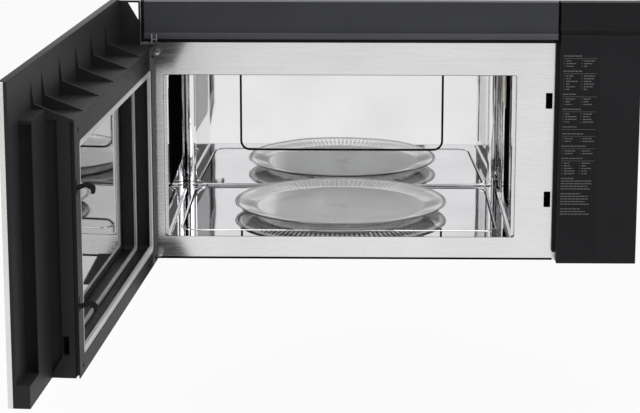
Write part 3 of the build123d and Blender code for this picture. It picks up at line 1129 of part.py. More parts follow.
with BuildPart() as window_bezel:
    slab(WINDOW_X, WINDOW_Z, (PANE_Y, BEZEL_Y), WINDOW_R)
    hole_z = WINDOW_Z[0] + BEZEL_SIDE, WINDOW_Z[1] - BEZEL_TOP
    slab(grow(WINDOW_X, -BEZEL_SIDE), hole_z, (PANE_Y, BEZEL_Y), WINDOW_R - LEDGE, Mode.SUBTRACT)

with BuildPart() as inner_glass:
    slab(WINDOW_X, WINDOW_Z, (MESH_Y, PANE_Y), WINDOW_R)

with BuildPart() as door_screen:
    slab(WINDOW_X, WINDOW_Z, (LEDGE_Y, MESH_Y), WINDOW_R)

with BuildPart() as hinge_pins:
    for tongue_z in TONGUES:
        pin_z = around(tongue_z, PIN_LENGTH)
        carrier_x = BLOCK_X[0] + SHEET, HINGE_X + CARRIER_REACH
        block(carrier_x, (CHOKE_Y + SHEET, COVER_Y), pin_z)
        rod("Z", (HINGE_X, HINGE_Y), around(tongue_z, TONGUE + 2 * NOTCH_GAP), NOTCH_R, Mode.SUBTRACT)
        rod("Z", (HINGE_X, HINGE_Y), pin_z, PIN_R)

with BuildPart() as latch_pawl:
    block(PAWL_X, PAWL_Y, PAWL_Z)
    for hook_z in HOOKS:
        with BuildSketch(Plane.YZ.offset(HOOK_X - HOOK_THICK / 2)):
            with BuildLine():
                # an arched arm whose nose turns down behind the flange
                Polyline(
                    (PAWL_Y[1] - DOOR_GAP, hook_z + HOOK_ARM / 2),
                    (BLOCK_Y + DOOR_GAP, hook_z + HOOK_ARM / 2),
                    (HOOK_TIP - 2 * HOOK_NOSE, hook_z + HOOK_HEIGHT / 2),
                    (HOOK_TIP - HOOK_NOSE, hook_z + HOOK_HEIGHT / 2 - HOOK_CHAMFER / 3),
                    (HOOK_TIP, hook_z + HOOK_ARM / 3),
                    (HOOK_TIP, hook_z - HOOK_HEIGHT / 4),
                    (HOOK_TIP - HOOK_CHAMFER, hook_z - HOOK_HEIGHT / 2),
                    (HOOK_TIP - HOOK_NOSE, hook_z - HOOK_HEIGHT / 2),
                    (HOOK_TIP - HOOK_NOSE, hook_z - HOOK_ARM / 3),
                    (HOOK_TIP - 2 * HOOK_NOSE, hook_z + HOOK_ARM / 6),
                    (BLOCK_Y + DOOR_GAP, hook_z - HOOK_ARM / 2),
                    (PAWL_Y[1] - DOOR_GAP, hook_z - HOOK_ARM / 2),
                    close=True,
                )
            make_face()
        extrude(amount=HOOK_THICK)

with BuildPart() as latch_spring:
    with BuildLine(Plane(origin=(HOOK_X, sum(PAWL_Y) / 2, SPRING_Z[0] + SPRING_WIRE))):
        coil = Helix((SPRING_LENGTH - 2 * SPRING_WIRE) / SPRING_TURNS, SPRING_LENGTH - 2 * SPRING_WIRE, SPRING_R)
    with BuildSketch(Plane(origin=coil @ 0, z_dir=coil % 0)):
        Circle(SPRING_WIRE)
    sweep(path=coil)

# ---------------------------------------------------------------- write the pieces
BODY_PIECES = {
    "outer_case": outer_case,
    "case_screws": case_screws,
    "rear_plate": rear_plate,
    "wall_plate": wall_plate,
    "base_pan": base_pan,
    "front_flange": front_flange,
    "cavity_liner": cavity_liner,
    "cavity_back_panel": cavity_back_panel,
    "vent_fascia": vent_fascia,
    "vent_louvre": vent_louvre,
    "charcoal_filter": charcoal_filter,
    "corner_cap": corner_cap,
    "control_cover": control_cover,
    "guide_film": guide_film,
    "seam_strip": seam_strip,
    "fascia_clip": fascia_clip,
    "hinge_brackets": hinge_brackets,
    "interlock_bracket": interlock_bracket,
    "interlock_switches": interlock_switches,
    "interlock_plunger_top": interlock_plunger_top,
    "interlock_plunger_bottom": interlock_plunger_bottom,
    "waveguide": waveguide,
    "waveguide_cover": waveguide_cover,
    "magnetron": magnetron,
    "transformer": transformer,
    "capacitor": capacitor,
    "power_board": power_board,
    "cavity_lamp": cavity_lamp,
    "cooling_fan_shroud": cooling_fan_shroud,
    "cooling_fan_motor": cooling_fan_motor,
    "cooling_fan": cooling_fan,
    "blower_housing": blower_housing,
    "blower_motor": blower_motor,
    "blower_wheels": blower_wheels,
    "exhaust_adapter": exhaust_adapter,
    "damper_flap": damper_flap,
    "grease_filter_left": grease_filter_left,
    "grease_filter_right": grease_filter_right,
    "lamp_cover": lamp_cover,
    "cooktop_lamps": cooktop_lamps,
    "turntable_motor": turntable_motor,
    "drive_coupler": drive_coupler,
    "glass_plate": glass_plate,
    "roller_ring": roller_ring,
    "roller_1": roller_1,
    "roller_2": roller_2,
    "roller_3": roller_3,
    "cord_gland": cord_gland,
}
DOOR_PIECES = {
    "door_skin": door_skin,
    "door_glass": door_glass,
    "touch_board": touch_board,
    "door_frame": door_frame,
    "door_choke": door_choke,
    "choke_cover": choke_cover,
    "window_bezel": window_bezel,
    "inner_glass": inner_glass,
    "door_screen": door_screen,
    "hinge_pins": hinge_pins,
    "latch_pawl": latch_pawl,
    "latch_spring": latch_spring,
}
HINGE = Axis((HINGE_X, HINGE_Y, 0), (0, 0, 1))

for name, piece in BODY_PIECES.items():
    piece.part.label = name
    export_step(piece.part, f"parts/{name}.step")

for name, piece in DOOR_PIECES.items():
    swung = piece.part.rotate(HINGE, -OPEN_ANGLE)
    swung.label = name
    export_step(swung, f"parts/{name}.step")
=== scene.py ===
"""Looks of an over-the-range microwave with its door standing open.

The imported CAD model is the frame. Each class below dresses one sub-assembly of it, and builds
the finer pieces that sit on it. Sizes are in millimetres until a piece is finished.
"""

import logging
import math
import random
from dataclasses import dataclass
from enum import Enum
from typing import ClassVar

import bmesh
import bpy
from mathutils import Euler, Matrix, Vector


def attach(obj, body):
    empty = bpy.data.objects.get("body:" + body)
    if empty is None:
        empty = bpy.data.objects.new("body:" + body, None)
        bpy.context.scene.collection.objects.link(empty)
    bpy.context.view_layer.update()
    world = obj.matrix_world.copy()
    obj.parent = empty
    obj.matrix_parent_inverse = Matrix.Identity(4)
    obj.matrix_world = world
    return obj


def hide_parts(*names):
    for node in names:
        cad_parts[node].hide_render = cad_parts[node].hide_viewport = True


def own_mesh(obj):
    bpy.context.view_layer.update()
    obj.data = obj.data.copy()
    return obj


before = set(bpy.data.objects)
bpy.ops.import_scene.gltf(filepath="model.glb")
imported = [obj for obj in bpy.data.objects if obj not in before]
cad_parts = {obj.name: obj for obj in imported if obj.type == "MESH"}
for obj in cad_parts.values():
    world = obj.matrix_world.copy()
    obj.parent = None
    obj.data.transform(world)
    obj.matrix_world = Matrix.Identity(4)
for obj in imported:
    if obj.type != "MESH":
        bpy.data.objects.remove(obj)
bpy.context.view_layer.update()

LOG = logging.getLogger("microwave")
MM = 0.001
Span = tuple[float, float]
Point = tuple[float, float, float]
Colour = tuple[float, float, float]
Socket = bpy.types.NodeSocket


# ---------------------------------------------------------------- finishes
class Grain(Enum):
    """What the surface of a finish is made of, close up."""

    BRUSHED = "fine straight lines"
    POLISHED = "mirror with a slow wave"
    MOULDED = "fine moulded texture"
    PAINTED = "sprayed paint"
    SPANGLED = "zinc flowers"
    GRANULAR = "packed grains"
    WOVEN = "crossed wires"
    STACKED = "thin stacked sheets"
    ETCHED = "copper tracks"
    FLAKED = "mica flakes"
    PUNCHED = "rows of small holes"
    CAST = "rough casting"
    POURED = "clear and slightly uneven"


class Along(Enum):
    """The axis that the lines of a grain run along."""

    X = 0
    Y = 1
    Z = 2


@dataclass(frozen=True)
class Finish:
    """One surface finish, as a maker would order it."""

    name: str
    colour: Colour
    grain: Grain
    roughness: float = 0.45
    metal: float = 0.0
    size: float = 1.0
    relief: float = 0.03
    uneven: float = 0.12
    gloss_uneven: float = 0.08
    specular: float = 0.5
    clear: float = 0.0
    index: float = 1.5
    coat: float = 0.0
    along: Along = Along.X

    def material(self) -> bpy.types.Material:
        """The finish as a material, made once.

        Returns:
            The material with its nodes wired.
        """
        made = bpy.data.materials.get(f"{self.name}_finish")
        return made if made else Bench(self).material


class Wiring:
    """The nodes of a material or a world, wired from nothing."""

    def __init__(self, owner: bpy.types.Material | bpy.types.World) -> None:
        """Clear the owner's nodes.

        Args:
            owner: the material or world that the nodes are for.
        """
        owner.use_nodes = True
        self.tree = owner.node_tree
        self.tree.nodes.clear()

    def add(self, kind: str, inputs: dict | None = None, **settings: str) -> bpy.types.Node:
        """Add a node.

        Args:
            kind: the node's type.
            inputs: values or sockets for its inputs, by name or number.
            settings: its own properties.

        Returns:
            The new node.
        """
        node = self.tree.nodes.new(kind)
        for key, value in settings.items():
            setattr(node, key, value)
        for key, value in (inputs or {}).items():
            if isinstance(value, Socket):
                self.tree.links.new(value, node.inputs[key])
            else:
                node.inputs[key].default_value = value
        return node

    def sum_of(self, first: Socket | float, second: Socket | float, kind: str = "ADD") -> Socket:
        """Two values put together."""
        return self.add("ShaderNodeMath", {0: first, 1: second}, operation=kind).outputs[0]

    def span(self, value: Socket, low: float, high: float, start: float = 0.3, end: float = 0.7) -> Socket:
        """A value moved into new limits."""
        return self.add("ShaderNodeMapRange", {
            "Value": value, "From Min": start, "From Max": end,
            "To Min": low, "To Max": high}).outputs["Result"]


class Bench(Wiring):
    """Wires the nodes of one finish."""

    def __init__(self, finish: Finish) -> None:
        """Make the finish's material.

        Args:
            finish: the finish to make.
        """
        self.finish = finish
        self.material = bpy.data.materials.new(f"{finish.name}_finish")
        super().__init__(self.material)
        self.place = self.add("ShaderNodeTexCoord").outputs["Object"]
        tone, gloss, height = self.patterns()
        self.shade(tone, gloss, height)

    def stretched(self, scale: Point) -> Socket:
        """The object's own coordinates, scaled along each axis."""
        return self.add("ShaderNodeMapping", {"Vector": self.place, "Scale": scale}).outputs["Vector"]

    def noise(self, scale: float, detail: float = 3.0, twist: float = 0.0, where: Socket | None = None,
              rough: float = 0.5) -> Socket:
        """Soft noise.

        Args:
            scale: how many lumps to the metre.
            detail: how many finer layers it has.
            twist: how much it is warped.
            where: the coordinates, or the object's own.
            rough: how strong the finer layers are.

        Returns:
            The socket with its value.
        """
        return self.add("ShaderNodeTexNoise", {
            "Vector": where or self.place, "Scale": scale, "Detail": detail,
            "Roughness": rough, "Distortion": twist}).outputs["Fac"]

    def cells(self, scale: float, output: str = "Distance", spread: float = 1.0) -> Socket:
        """Cells with a centre each, a number of them to the metre."""
        return self.add("ShaderNodeTexVoronoi", {
            "Vector": self.place, "Scale": scale, "Randomness": spread}).outputs[output]

    def stripes(self, scale: float, direction: str, twist: float = 0.0) -> Socket:
        """Even stripes across one axis."""
        return self.add("ShaderNodeTexWave", {
            "Vector": self.place, "Scale": scale, "Distortion": twist, "Detail": 1.0},
            bands_direction=direction).outputs["Fac"]

    def lines(self, fine: float, length: float = 60.0) -> Socket:
        """Long thin streaks along the finish's own axis.

        Args:
            fine: how many streaks to the metre.
            length: how many times longer than wide they are.

        Returns:
            The socket with its value.
        """
        scale = [fine, fine, fine]
        scale[self.finish.along.value] = fine / length
        return self.noise(1.0, 5.0, where=self.stretched(tuple(scale)), rough=0.7)

    def blend(self, first: Socket, second: Socket, share: float) -> Socket:
        """Two patterns laid over each other, the second with the given share."""
        return self.sum_of(self.sum_of(first, 1 - share, "MULTIPLY"), self.sum_of(second, share, "MULTIPLY"))

    def patterns(self) -> tuple[Socket, Socket, Socket]:
        """The three patterns of the finish's grain.

        Returns:
            Sockets for tone, for gloss and for height, each from about 0 to 1.
        """
        size = self.finish.size
        grain = self.finish.grain
        broad = self.noise(9.0 / size, 2.0)
        if grain is Grain.BRUSHED:
            streaks = self.lines(700.0 / size)
            return self.blend(broad, streaks, 0.6), streaks, streaks
        if grain is Grain.POLISHED:
            wave = self.noise(7.0 / size, 1.0, 0.4)
            return broad, self.lines(500.0), wave
        if grain is Grain.PAINTED:
            peel = self.noise(420.0 / size, 1.0)
            return broad, peel, peel
        if grain is Grain.SPANGLED:
            flowers = self.cells(90.0 / size, "Color")
            return flowers, flowers, self.noise(300.0)
        if grain is Grain.GRANULAR:
            grains = self.cells(260.0 / size)
            return self.cells(260.0 / size, "Color"), grains, self.sum_of(1.0, grains, "SUBTRACT")
        if grain is Grain.WOVEN:
            across = self.stripes(110.0 / size, "X", 0.6)
            down = self.stripes(110.0 / size, "Y", 0.6)
            cloth = self.sum_of(across, down, "MAXIMUM")
            return cloth, broad, cloth
        if grain is Grain.STACKED:
            sheets = self.stripes(260.0 / size, self.finish.along.name)
            return self.sum_of(sheets, self.noise(60.0), "MULTIPLY"), broad, sheets
        if grain is Grain.ETCHED:
            tracks = self.span(self.cells(70.0 / size, "Distance", 0.25), 0.0, 1.0, 0.28, 0.34)
            return self.sum_of(tracks, broad, "MULTIPLY"), broad, tracks
        if grain is Grain.FLAKED:
            flakes = self.noise(150.0 / size, 5.0, 2.5)
            return flakes, flakes, flakes
        if grain is Grain.PUNCHED:
            holes = self.span(self.cells(300.0 / size, "Distance", 0.0), 0.0, 1.0, 0.30, 0.38)
            return holes, broad, holes
        if grain is Grain.CAST:
            skin = self.noise(500.0 / size, 6.0, 0.3)
            return broad, skin, skin
        if grain is Grain.POURED:
            return broad, broad, self.noise(22.0 / size, 1.0)
        fine = self.noise(900.0 / size, 3.0)
        return self.blend(broad, fine, 0.4), fine, fine

    def shade(self, tone: Socket, gloss: Socket, height: Socket) -> None:
        """Wire the shader.

        Args:
            tone: where the colour is darker or lighter.
            gloss: where it is duller.
            height: the relief.
        """
        finish = self.finish
        mix = self.add("ShaderNodeMix", {
            0: self.span(tone, 0.0, 1.0, 0.2, 0.8),
            6: (*[linear(part * (1 - finish.uneven)) for part in finish.colour], 1.0),
            7: (*[linear(min(1.0, part * (1 + finish.uneven))) for part in finish.colour], 1.0)},
            data_type="RGBA")
        roughness = self.span(gloss, max(0.02, finish.roughness - finish.gloss_uneven),
                              min(1.0, finish.roughness + finish.gloss_uneven))
        bump = self.add("ShaderNodeBump", {
            "Height": height, "Strength": 1.0, "Distance": finish.relief * MM})
        shader = self.add("ShaderNodeBsdfPrincipled", {
            "Base Color": mix.outputs[2], "Metallic": finish.metal, "Roughness": roughness,
            "IOR": finish.index, "Specular IOR Level": finish.specular, "Coat Weight": finish.coat,
            "Coat Roughness": 0.03, "Transmission Weight": finish.clear, "Normal": bump.outputs["Normal"]})
        self.add("ShaderNodeOutputMaterial", {"Surface": shader.outputs["BSDF"]})


def linear(part: float) -> float:
    """One part of a display colour as light."""
    return part / 12.92 if part <= 0.04045 else ((part + 0.055) / 1.055) ** 2.4


# Each finish has its name, colour, grain and roughness, then how far it is metal.
CASE_PAINT = Finish("case_paint", (0.66, 0.665, 0.67), Grain.PAINTED, 0.42, relief=0.02, specular=0.4,
                    uneven=0.03)
GALVANISED = Finish("galvanised_sheet", (0.66, 0.67, 0.68), Grain.SPANGLED, 0.38, 0.9, size=0.6,
                    relief=0.01, uneven=0.045, gloss_uneven=0.06)
FLANGE_STEEL = Finish("flange_steel", (0.87, 0.87, 0.875), Grain.BRUSHED, 0.27, 1.0, relief=0.006,
                      uneven=0.05, gloss_uneven=0.04)
CAVITY_STEEL = Finish("cavity_steel", (0.90, 0.90, 0.905), Grain.POLISHED, 0.022, 1.0, relief=0.35,
                      uneven=0.03, gloss_uneven=0.01)
# A darker copy of the cavity steel, painted shade for the dark reflections on the left wall's louvres.
LOUVRE_STEEL_SHADED = Finish("louvre_steel_shaded", (0.60, 0.60, 0.605), Grain.POLISHED, 0.05, 1.0, relief=0.35,
                      uneven=0.06, gloss_uneven=0.02)
SKIN_STEEL = Finish("skin_steel", (0.86, 0.852, 0.84), Grain.BRUSHED, 0.28, 1.0, relief=0.02, uneven=0.06,
                    along=Along.Y)
TRIM_PLASTIC = Finish("trim_plastic", (0.185, 0.188, 0.198), Grain.MOULDED, 0.44, specular=0.14, relief=0.02)
# A lighter copy of the trim plastic, a painted highlight for the light that the fascia's sloping lip catches.
LIP_PLASTIC_HIGHLIGHT = Finish("lip_plastic_highlight", (0.235, 0.238, 0.246), Grain.MOULDED, 0.4, specular=0.2, relief=0.02)
DOOR_PLASTIC = Finish("door_plastic", (0.135, 0.137, 0.143), Grain.MOULDED, 0.46, specular=0.10, relief=0.02)
CONTROL_PLASTIC = Finish("control_plastic", (0.105, 0.107, 0.113), Grain.MOULDED, 0.5, specular=0.08,
                         relief=0.02)
CAP_PLASTIC = Finish("cap_plastic", (0.095, 0.097, 0.103), Grain.MOULDED, 0.5, specular=0.08, relief=0.02)
CHOKE_PAINT = Finish("choke_paint", (0.13, 0.132, 0.137), Grain.PAINTED, 0.4, specular=0.14, relief=0.02)
BEZEL_PLASTIC = Finish("bezel_plastic", (0.68, 0.68, 0.69), Grain.MOULDED, 0.34, specular=0.4, relief=0.02)
FILM = Finish("film", (0.10, 0.102, 0.108), Grain.MOULDED, 0.5, specular=0.07, relief=0.008, uneven=0.05)
FILM_LINE = Finish("film_line", (0.15, 0.15, 0.155), Grain.MOULDED, 0.6, specular=0.08, relief=0.004)
FILM_INK = Finish("film_ink", (0.36, 0.36, 0.365), Grain.MOULDED, 0.6, specular=0.1, relief=0.004)
# Black for real seals, rubber buffers and joints, and also painted shade in screw recesses, slots, grooves
# and under the flange's foot.
DARK_SEAL_AND_SHADE = Finish("dark_seal_and_shade", (0.03, 0.03, 0.032), Grain.MOULDED, 0.7, specular=0.0, relief=0.02)
# Black for the louvres' openings, painted shade where the open slots are dark.
VENT_SHADE = Finish("vent_painted_shade", (0.02, 0.02, 0.019), Grain.PUNCHED, 0.7, relief=0.05, uneven=0.5,
                    specular=0.0)
CLEAR_GLASS = Finish("clear_glass", (0.97, 0.98, 0.975), Grain.POURED, 0.02, relief=0.05, uneven=0.01,
                     gloss_uneven=0.01, clear=1.0, coat=1.0)
# A darker copy of the plate's glass, painted shade for its rim and flutes.
RIM_GLASS_SHADED = Finish("rim_glass_shaded", (0.34, 0.345, 0.345), Grain.POURED, 0.12, relief=0.05, uneven=0.3,
                   gloss_uneven=0.05, coat=0.6)
PRESSED_GLASS = Finish("pressed_glass", (0.96, 0.965, 0.96), Grain.POURED, 0.09, relief=0.06, uneven=0.02,
                       gloss_uneven=0.03, clear=0.76)
SMOKED_GLASS = Finish("smoked_glass", (0.03, 0.03, 0.032), Grain.POURED, 0.05, relief=0.05, uneven=0.1,
                      gloss_uneven=0.01, coat=0.3)
SCREEN_STEEL = Finish("screen_steel", (0.10, 0.10, 0.102), Grain.PUNCHED, 0.4, 0.3, relief=0.1, uneven=0.6)
PALE_PLASTIC = Finish("pale_plastic", (0.86, 0.85, 0.81), Grain.MOULDED, 0.45, relief=0.02, uneven=0.04)
PALE_INK = Finish("pale_ink", (0.78, 0.79, 0.80), Grain.MOULDED, 0.5, relief=0.004, uneven=0.04)
DISPLAY_INK = Finish("display_ink", (0.62, 0.80, 0.84), Grain.MOULDED, 0.4, relief=0.004, uneven=0.06)
MICA = Finish("mica", (0.72, 0.68, 0.60), Grain.FLAKED, 0.4, relief=0.05, uneven=0.14)
CIRCUIT_BOARD = Finish("circuit_board", (0.13, 0.32, 0.17), Grain.ETCHED, 0.4, relief=0.03, uneven=0.35)
FILTER_MESH = Finish("filter_mesh", (0.70, 0.71, 0.72), Grain.WOVEN, 0.4, 0.9, relief=0.6, uneven=0.35)
CHARCOAL = Finish("charcoal", (0.07, 0.07, 0.072), Grain.GRANULAR, 0.75, relief=1.2, uneven=0.5)
CORE_STEEL = Finish("core_steel", (0.30, 0.30, 0.32), Grain.STACKED, 0.45, 0.8, relief=0.15, uneven=0.25)
COPPER = Finish("enamelled_copper", (0.72, 0.40, 0.22), Grain.BRUSHED, 0.3, 0.9, relief=0.06, uneven=0.2)
MOTOR_STEEL = Finish("motor_steel", (0.62, 0.62, 0.60), Grain.BRUSHED, 0.36, 0.9, relief=0.02, uneven=0.1)
MAGNETRON_ALLOY = Finish("magnetron_alloy", (0.68, 0.69, 0.70), Grain.CAST, 0.42, 0.85, relief=0.05)
CAN_ALUMINIUM = Finish("can_aluminium", (0.78, 0.78, 0.79), Grain.BRUSHED, 0.28, 1.0, relief=0.01,
                       along=Along.Y)


# ---------------------------------------------------------------- limits and objects
def around(middle: float, width: float) -> Span:
    """Limits either side of a middle."""
    return middle - width / 2, middle + width / 2


def within(limits: Span, margin: float) -> Span:
    """Limits drawn in at both ends, or let out where the margin is below zero."""
    return limits[0] + margin, limits[1] - margin


def off(face: float, span: Span, way: int = 1) -> Span:
    """Limits given as distances from a face, counted up its axis or, with a way of -1, down it."""
    ends = [face + way * distance for distance in span]
    return min(ends), max(ends)


def placed(name: str, data: bpy.types.ID) -> bpy.types.Object:
    """Put a new object in the scene.

    Args:
        name: its name.
        data: its mesh, camera or light.

    Returns:
        The new object.
    """
    made = bpy.data.objects.new(name, data)
    bpy.context.scene.collection.objects.link(made)
    return made


# ---------------------------------------------------------------- pieces
# The door's hinge line, and how far the photographed door is turned about it, in degrees.
HINGE = Vector((-371.5, -407.8, 0.0))
OPEN_ANGLE = -94.0

# Stands up what was built lying down.
UPRIGHT = Matrix.Rotation(math.pi / 2, 4, "X")

# Points of a piece, and of a CAD node, that are as near as this are one.
NEAR = 0.001
WELD = 0.002

# Where an edge counts as sharp, in radians, and from where a CAD node's edge is softened, in degrees.
SHARP_ANGLE = 1.0
SOFT_ANGLE = 40.0

# Angles in degrees up to which neighbouring faces shade as one.
MIRROR_ANGLE = 5.0
BEND_ANGLE = 25.0
PLAIN_ANGLE = 32.0
COIL_ANGLE = 40.0


class Workpiece:
    """A mesh being shaped, in millimetres."""

    def __init__(self, name: str) -> None:
        """Start an empty mesh.

        Args:
            name: the piece's name.
        """
        self.name = name
        self.mesh = bmesh.new()

    def soften(self, edges: list[bmesh.types.BMEdge], radius: float,
               steps: int = 2) -> list[bmesh.types.BMVert]:
        """Round some edges.

        Args:
            edges: the edges.
            radius: the radius that they get.
            steps: how many facets that radius has.

        Returns:
            The vertices of the new facets.
        """
        cut = bmesh.ops.bevel(self.mesh, geom=edges, offset=radius, segments=steps, affect="EDGES",
                              profile=0.5, material=-1, offset_type="OFFSET")
        return list({vert for face in cut["faces"] for vert in face.verts})

    def pull(self, faces: list[bmesh.types.BMFace], way: Point) -> None:
        """Pull faces out into a solid.

        Args:
            faces: the faces.
            way: how far they are pulled along each axis.
        """
        pulled = bmesh.ops.extrude_face_region(self.mesh, geom=faces)["geom"]
        moved = [item for item in pulled if isinstance(item, bmesh.types.BMVert)]
        bmesh.ops.translate(self.mesh, verts=moved, vec=way)
        bmesh.ops.recalc_face_normals(self.mesh, faces=self.mesh.faces)

    def front_rim(self, depth: float) -> list[bmesh.types.BMEdge]:
        """The sharp edges that lie wholly in front of a depth."""
        return [edge for edge in self.mesh.edges if edge.calc_face_angle(0.0) > SHARP_ANGLE
                and all(vert.co.y < depth for vert in edge.verts)]

    def block(self, x: Span, y: Span, z: Span, rounding: float = 0.0,
              steps: int = 2) -> list[bmesh.types.BMVert]:
        """Add a box with softened edges.

        Args:
            x: its limits along X.
            y: its limits along Y.
            z: its limits along Z.
            rounding: the radius of its edges.
            steps: how many facets that radius has.

        Returns:
            Its vertices.
        """
        size = Matrix.Diagonal((x[1] - x[0], y[1] - y[0], z[1] - z[0], 1.0))
        place = Matrix.Translation((sum(x) / 2, sum(y) / 2, sum(z) / 2))
        made = bmesh.ops.create_cube(self.mesh, size=1.0, matrix=place @ size)["verts"]
        if not rounding:
            return made
        return self.soften(list({edge for vert in made for edge in vert.link_edges}), rounding, steps)

    def cross(self, axis: Along, centre: Span, depth: Span, arm: Span) -> None:
        """Add the cross of a screw's recess.

        Args:
            axis: the axis that the screw lies along.
            centre: its two other coordinates.
            depth: where the cross starts and stops along that axis.
            arm: the length and the width of its arms.
        """
        for sizes in (arm, arm[::-1]):
            limits = [around(middle, size) for middle, size in zip(centre, sizes)]
            limits.insert(axis.value, depth)
            self.block(*limits)

    def rod(self, axis: Along, centre: Span, ends: Span, radius: float, sides: int, rounding: float) -> None:
        """Add a round bar.

        Args:
            axis: the axis it lies along.
            centre: its two other coordinates.
            ends: where it starts and stops.
            radius: its radius.
            sides: how many facets it has.
            rounding: the radius of its end edges.
        """
        turn = {Along.X: Matrix.Rotation(math.pi / 2, 4, "Y"), Along.Y: UPRIGHT,
                Along.Z: Matrix.Identity(4)}[axis]
        middle = list(centre)
        middle.insert(axis.value, sum(ends) / 2)
        made = bmesh.ops.create_cone(
            self.mesh, cap_ends=True, segments=sides, radius1=radius, radius2=radius,
            depth=ends[1] - ends[0], matrix=Matrix.Translation(middle) @ turn)["verts"]
        rims = {edge for vert in made for edge in vert.link_edges
                if any(len(face.verts) > 4 for face in edge.link_faces)}
        self.soften(list(rims), rounding)

    def sheet(self, x: Span, z: Span, y: float, radius: float, facets: int = 6) -> bmesh.types.BMFace:
        """Add an upright sheet with rounded corners, facing the room.

        Args:
            x: its limits along X.
            z: its limits along Z.
            y: where it stands.
            radius: the radius of its corners.
            facets: how many facets a corner has.

        Returns:
            Its face.
        """
        place = Matrix.Translation((sum(x) / 2, y, sum(z) / 2)) @ UPRIGHT
        size = Matrix.Diagonal((x[1] - x[0], z[1] - z[0], 1.0, 1.0))
        corners = bmesh.ops.create_grid(self.mesh, x_segments=1, y_segments=1, size=0.5,
                                        matrix=place @ size)["verts"]
        bmesh.ops.bevel(self.mesh, geom=corners, offset=radius, segments=facets, affect="VERTICES",
                        profile=0.5, material=-1, offset_type="OFFSET")
        return max(self.mesh.faces, key=lambda face: len(face.verts))

    def plate(self, x: Span, z: Span, y: Span, radius: float, edge: float) -> None:
        """Add an upright plate with rounded corners.

        Args:
            x: its limits along X.
            z: its limits along Z.
            y: its front and back.
            radius: the radius of its corners.
            edge: how far its front edge is broken.
        """
        self.pull([self.sheet(x, z, y[0], radius)], (0.0, y[1] - y[0], 0.0))
        self.soften(self.front_rim(sum(y) / 2), edge)

    def hoop(self, x: Span, z: Span, y: Span, radius: float, width: float) -> None:
        """Add a flat rounded frame.

        Args:
            x: its outer limits along X.
            z: its outer limits along Z.
            y: its front and back.
            radius: the radius of its outer corners.
            width: how wide the frame is.
        """
        face = self.sheet(x, z, y[0], radius)
        ring = bmesh.ops.inset_region(self.mesh, faces=[face], thickness=width, use_boundary=True,
                                      use_even_offset=True)["faces"]
        inside = [item for item in self.mesh.faces if item not in ring]
        bmesh.ops.delete(self.mesh, geom=inside, context="FACES")
        self.pull(ring, (0.0, y[1] - y[0], 0.0))

    def bow(self, front: float, middle: float, half: float, rise: float, strips: int = 40) -> None:
        """Bow the mesh's front towards the room.

        Args:
            front: the depth behind which nothing moves.
            middle: the X that comes forward most.
            half: how far from there the bow ends.
            rise: how far it comes forward.
            strips: how many strips the bow is cut into.
        """
        for number in range(1, strips):
            everything = [*self.mesh.verts, *self.mesh.edges, *self.mesh.faces]
            bmesh.ops.bisect_plane(self.mesh, geom=everything, plane_no=(1, 0, 0),
                                   plane_co=(middle - half + 2 * half * number / strips, 0, 0))
        for vert in self.mesh.verts:
            if vert.co.y < front:
                vert.co.y -= rise * max(0.0, 1 - ((vert.co.x - middle) / half) ** 2)

    def lay(self) -> None:
        """Lay what was built upright flat, its face up and its top to the back."""
        bmesh.ops.rotate(self.mesh, cent=(0, 0, 0), verts=self.mesh.verts,
                         matrix=Matrix.Rotation(-math.pi / 2, 3, "X"))

    def fillet(self, axis: Along, corner: Span, ends: Span, radius: float, signs: tuple[int, int],
               facets: int = 8) -> None:
        """Add a hollow fillet along a corner.

        Args:
            axis: the axis that the corner runs along.
            corner: its two other coordinates.
            ends: where the fillet starts and stops.
            radius: its radius.
            signs: which way it fills from the corner, along each of the two coordinates.
            facets: how many facets its curve has.
        """
        outline = [(0.0, 0.0)] + [(radius * (1 - math.sin(turn)), radius * (1 - math.cos(turn)))
                                  for turn in (math.pi / 2 * step / facets for step in range(facets + 1))]
        corners = []
        for first, second in outline:
            place = [corner[0] + signs[0] * first, corner[1] + signs[1] * second]
            place.insert(axis.value, ends[0])
            corners.append(self.mesh.verts.new(place))
        way = [0.0, 0.0, 0.0]
        way[axis.value] = ends[1] - ends[0]
        self.pull([self.mesh.faces.new(corners)], way)

    def words(self, text: str, size: float, x: float, z: float, y: float, ink: float = 0.012) -> None:
        """Add generic figures, facing the room.

        Args:
            text: the figures.
            size: their height.
            x: their middle.
            z: their foot.
            y: the face that they are printed on.
            ink: how far they stand off it, each way.
        """
        curve = bpy.data.curves.new(self.name + "_figures", "FONT")
        curve.body = text
        curve.size = size
        curve.align_x = "CENTER"
        curve.resolution_u = 3
        curve.extrude = ink
        holder = bpy.data.objects.new(curve.name, curve)
        flat = bpy.data.meshes.new_from_object(holder)
        flat.transform(Matrix.Translation((x, y, z)) @ UPRIGHT)
        self.mesh.from_mesh(flat)
        bpy.data.objects.remove(holder)
        bpy.data.curves.remove(curve)
        bpy.data.meshes.remove(flat)

    def spun(self, profile: list[Span], centre: Point, steps: int) -> None:
        """Turn a closed outline round an upright axis.

        Args:
            profile: radius and height of each corner.
            centre: the axis, with the height that the outline starts from.
            steps: how many facets the full turn has.
        """
        corners = [self.mesh.verts.new((centre[0] + r, centre[1], centre[2] + z)) for r, z in profile]
        edges = [self.mesh.edges.new(pair) for pair in zip(corners, corners[1:] + corners[:1])]
        bmesh.ops.spin(self.mesh, geom=corners + edges, cent=centre, axis=(0, 0, 1), angle=2 * math.pi,
                       steps=steps, use_merge=True)
        bmesh.ops.remove_doubles(self.mesh, verts=self.mesh.verts, dist=NEAR)
        bmesh.ops.dissolve_degenerate(self.mesh, edges=self.mesh.edges, dist=NEAR)
        bmesh.ops.recalc_face_normals(self.mesh, faces=self.mesh.faces)

    def swing(self) -> "Workpiece":
        """Turn a door piece that was built closed to where the door stands, and return it."""
        bmesh.ops.rotate(self.mesh, cent=HINGE, verts=self.mesh.verts,
                         matrix=Matrix.Rotation(math.radians(OPEN_ANGLE), 3, "Z"))
        return self

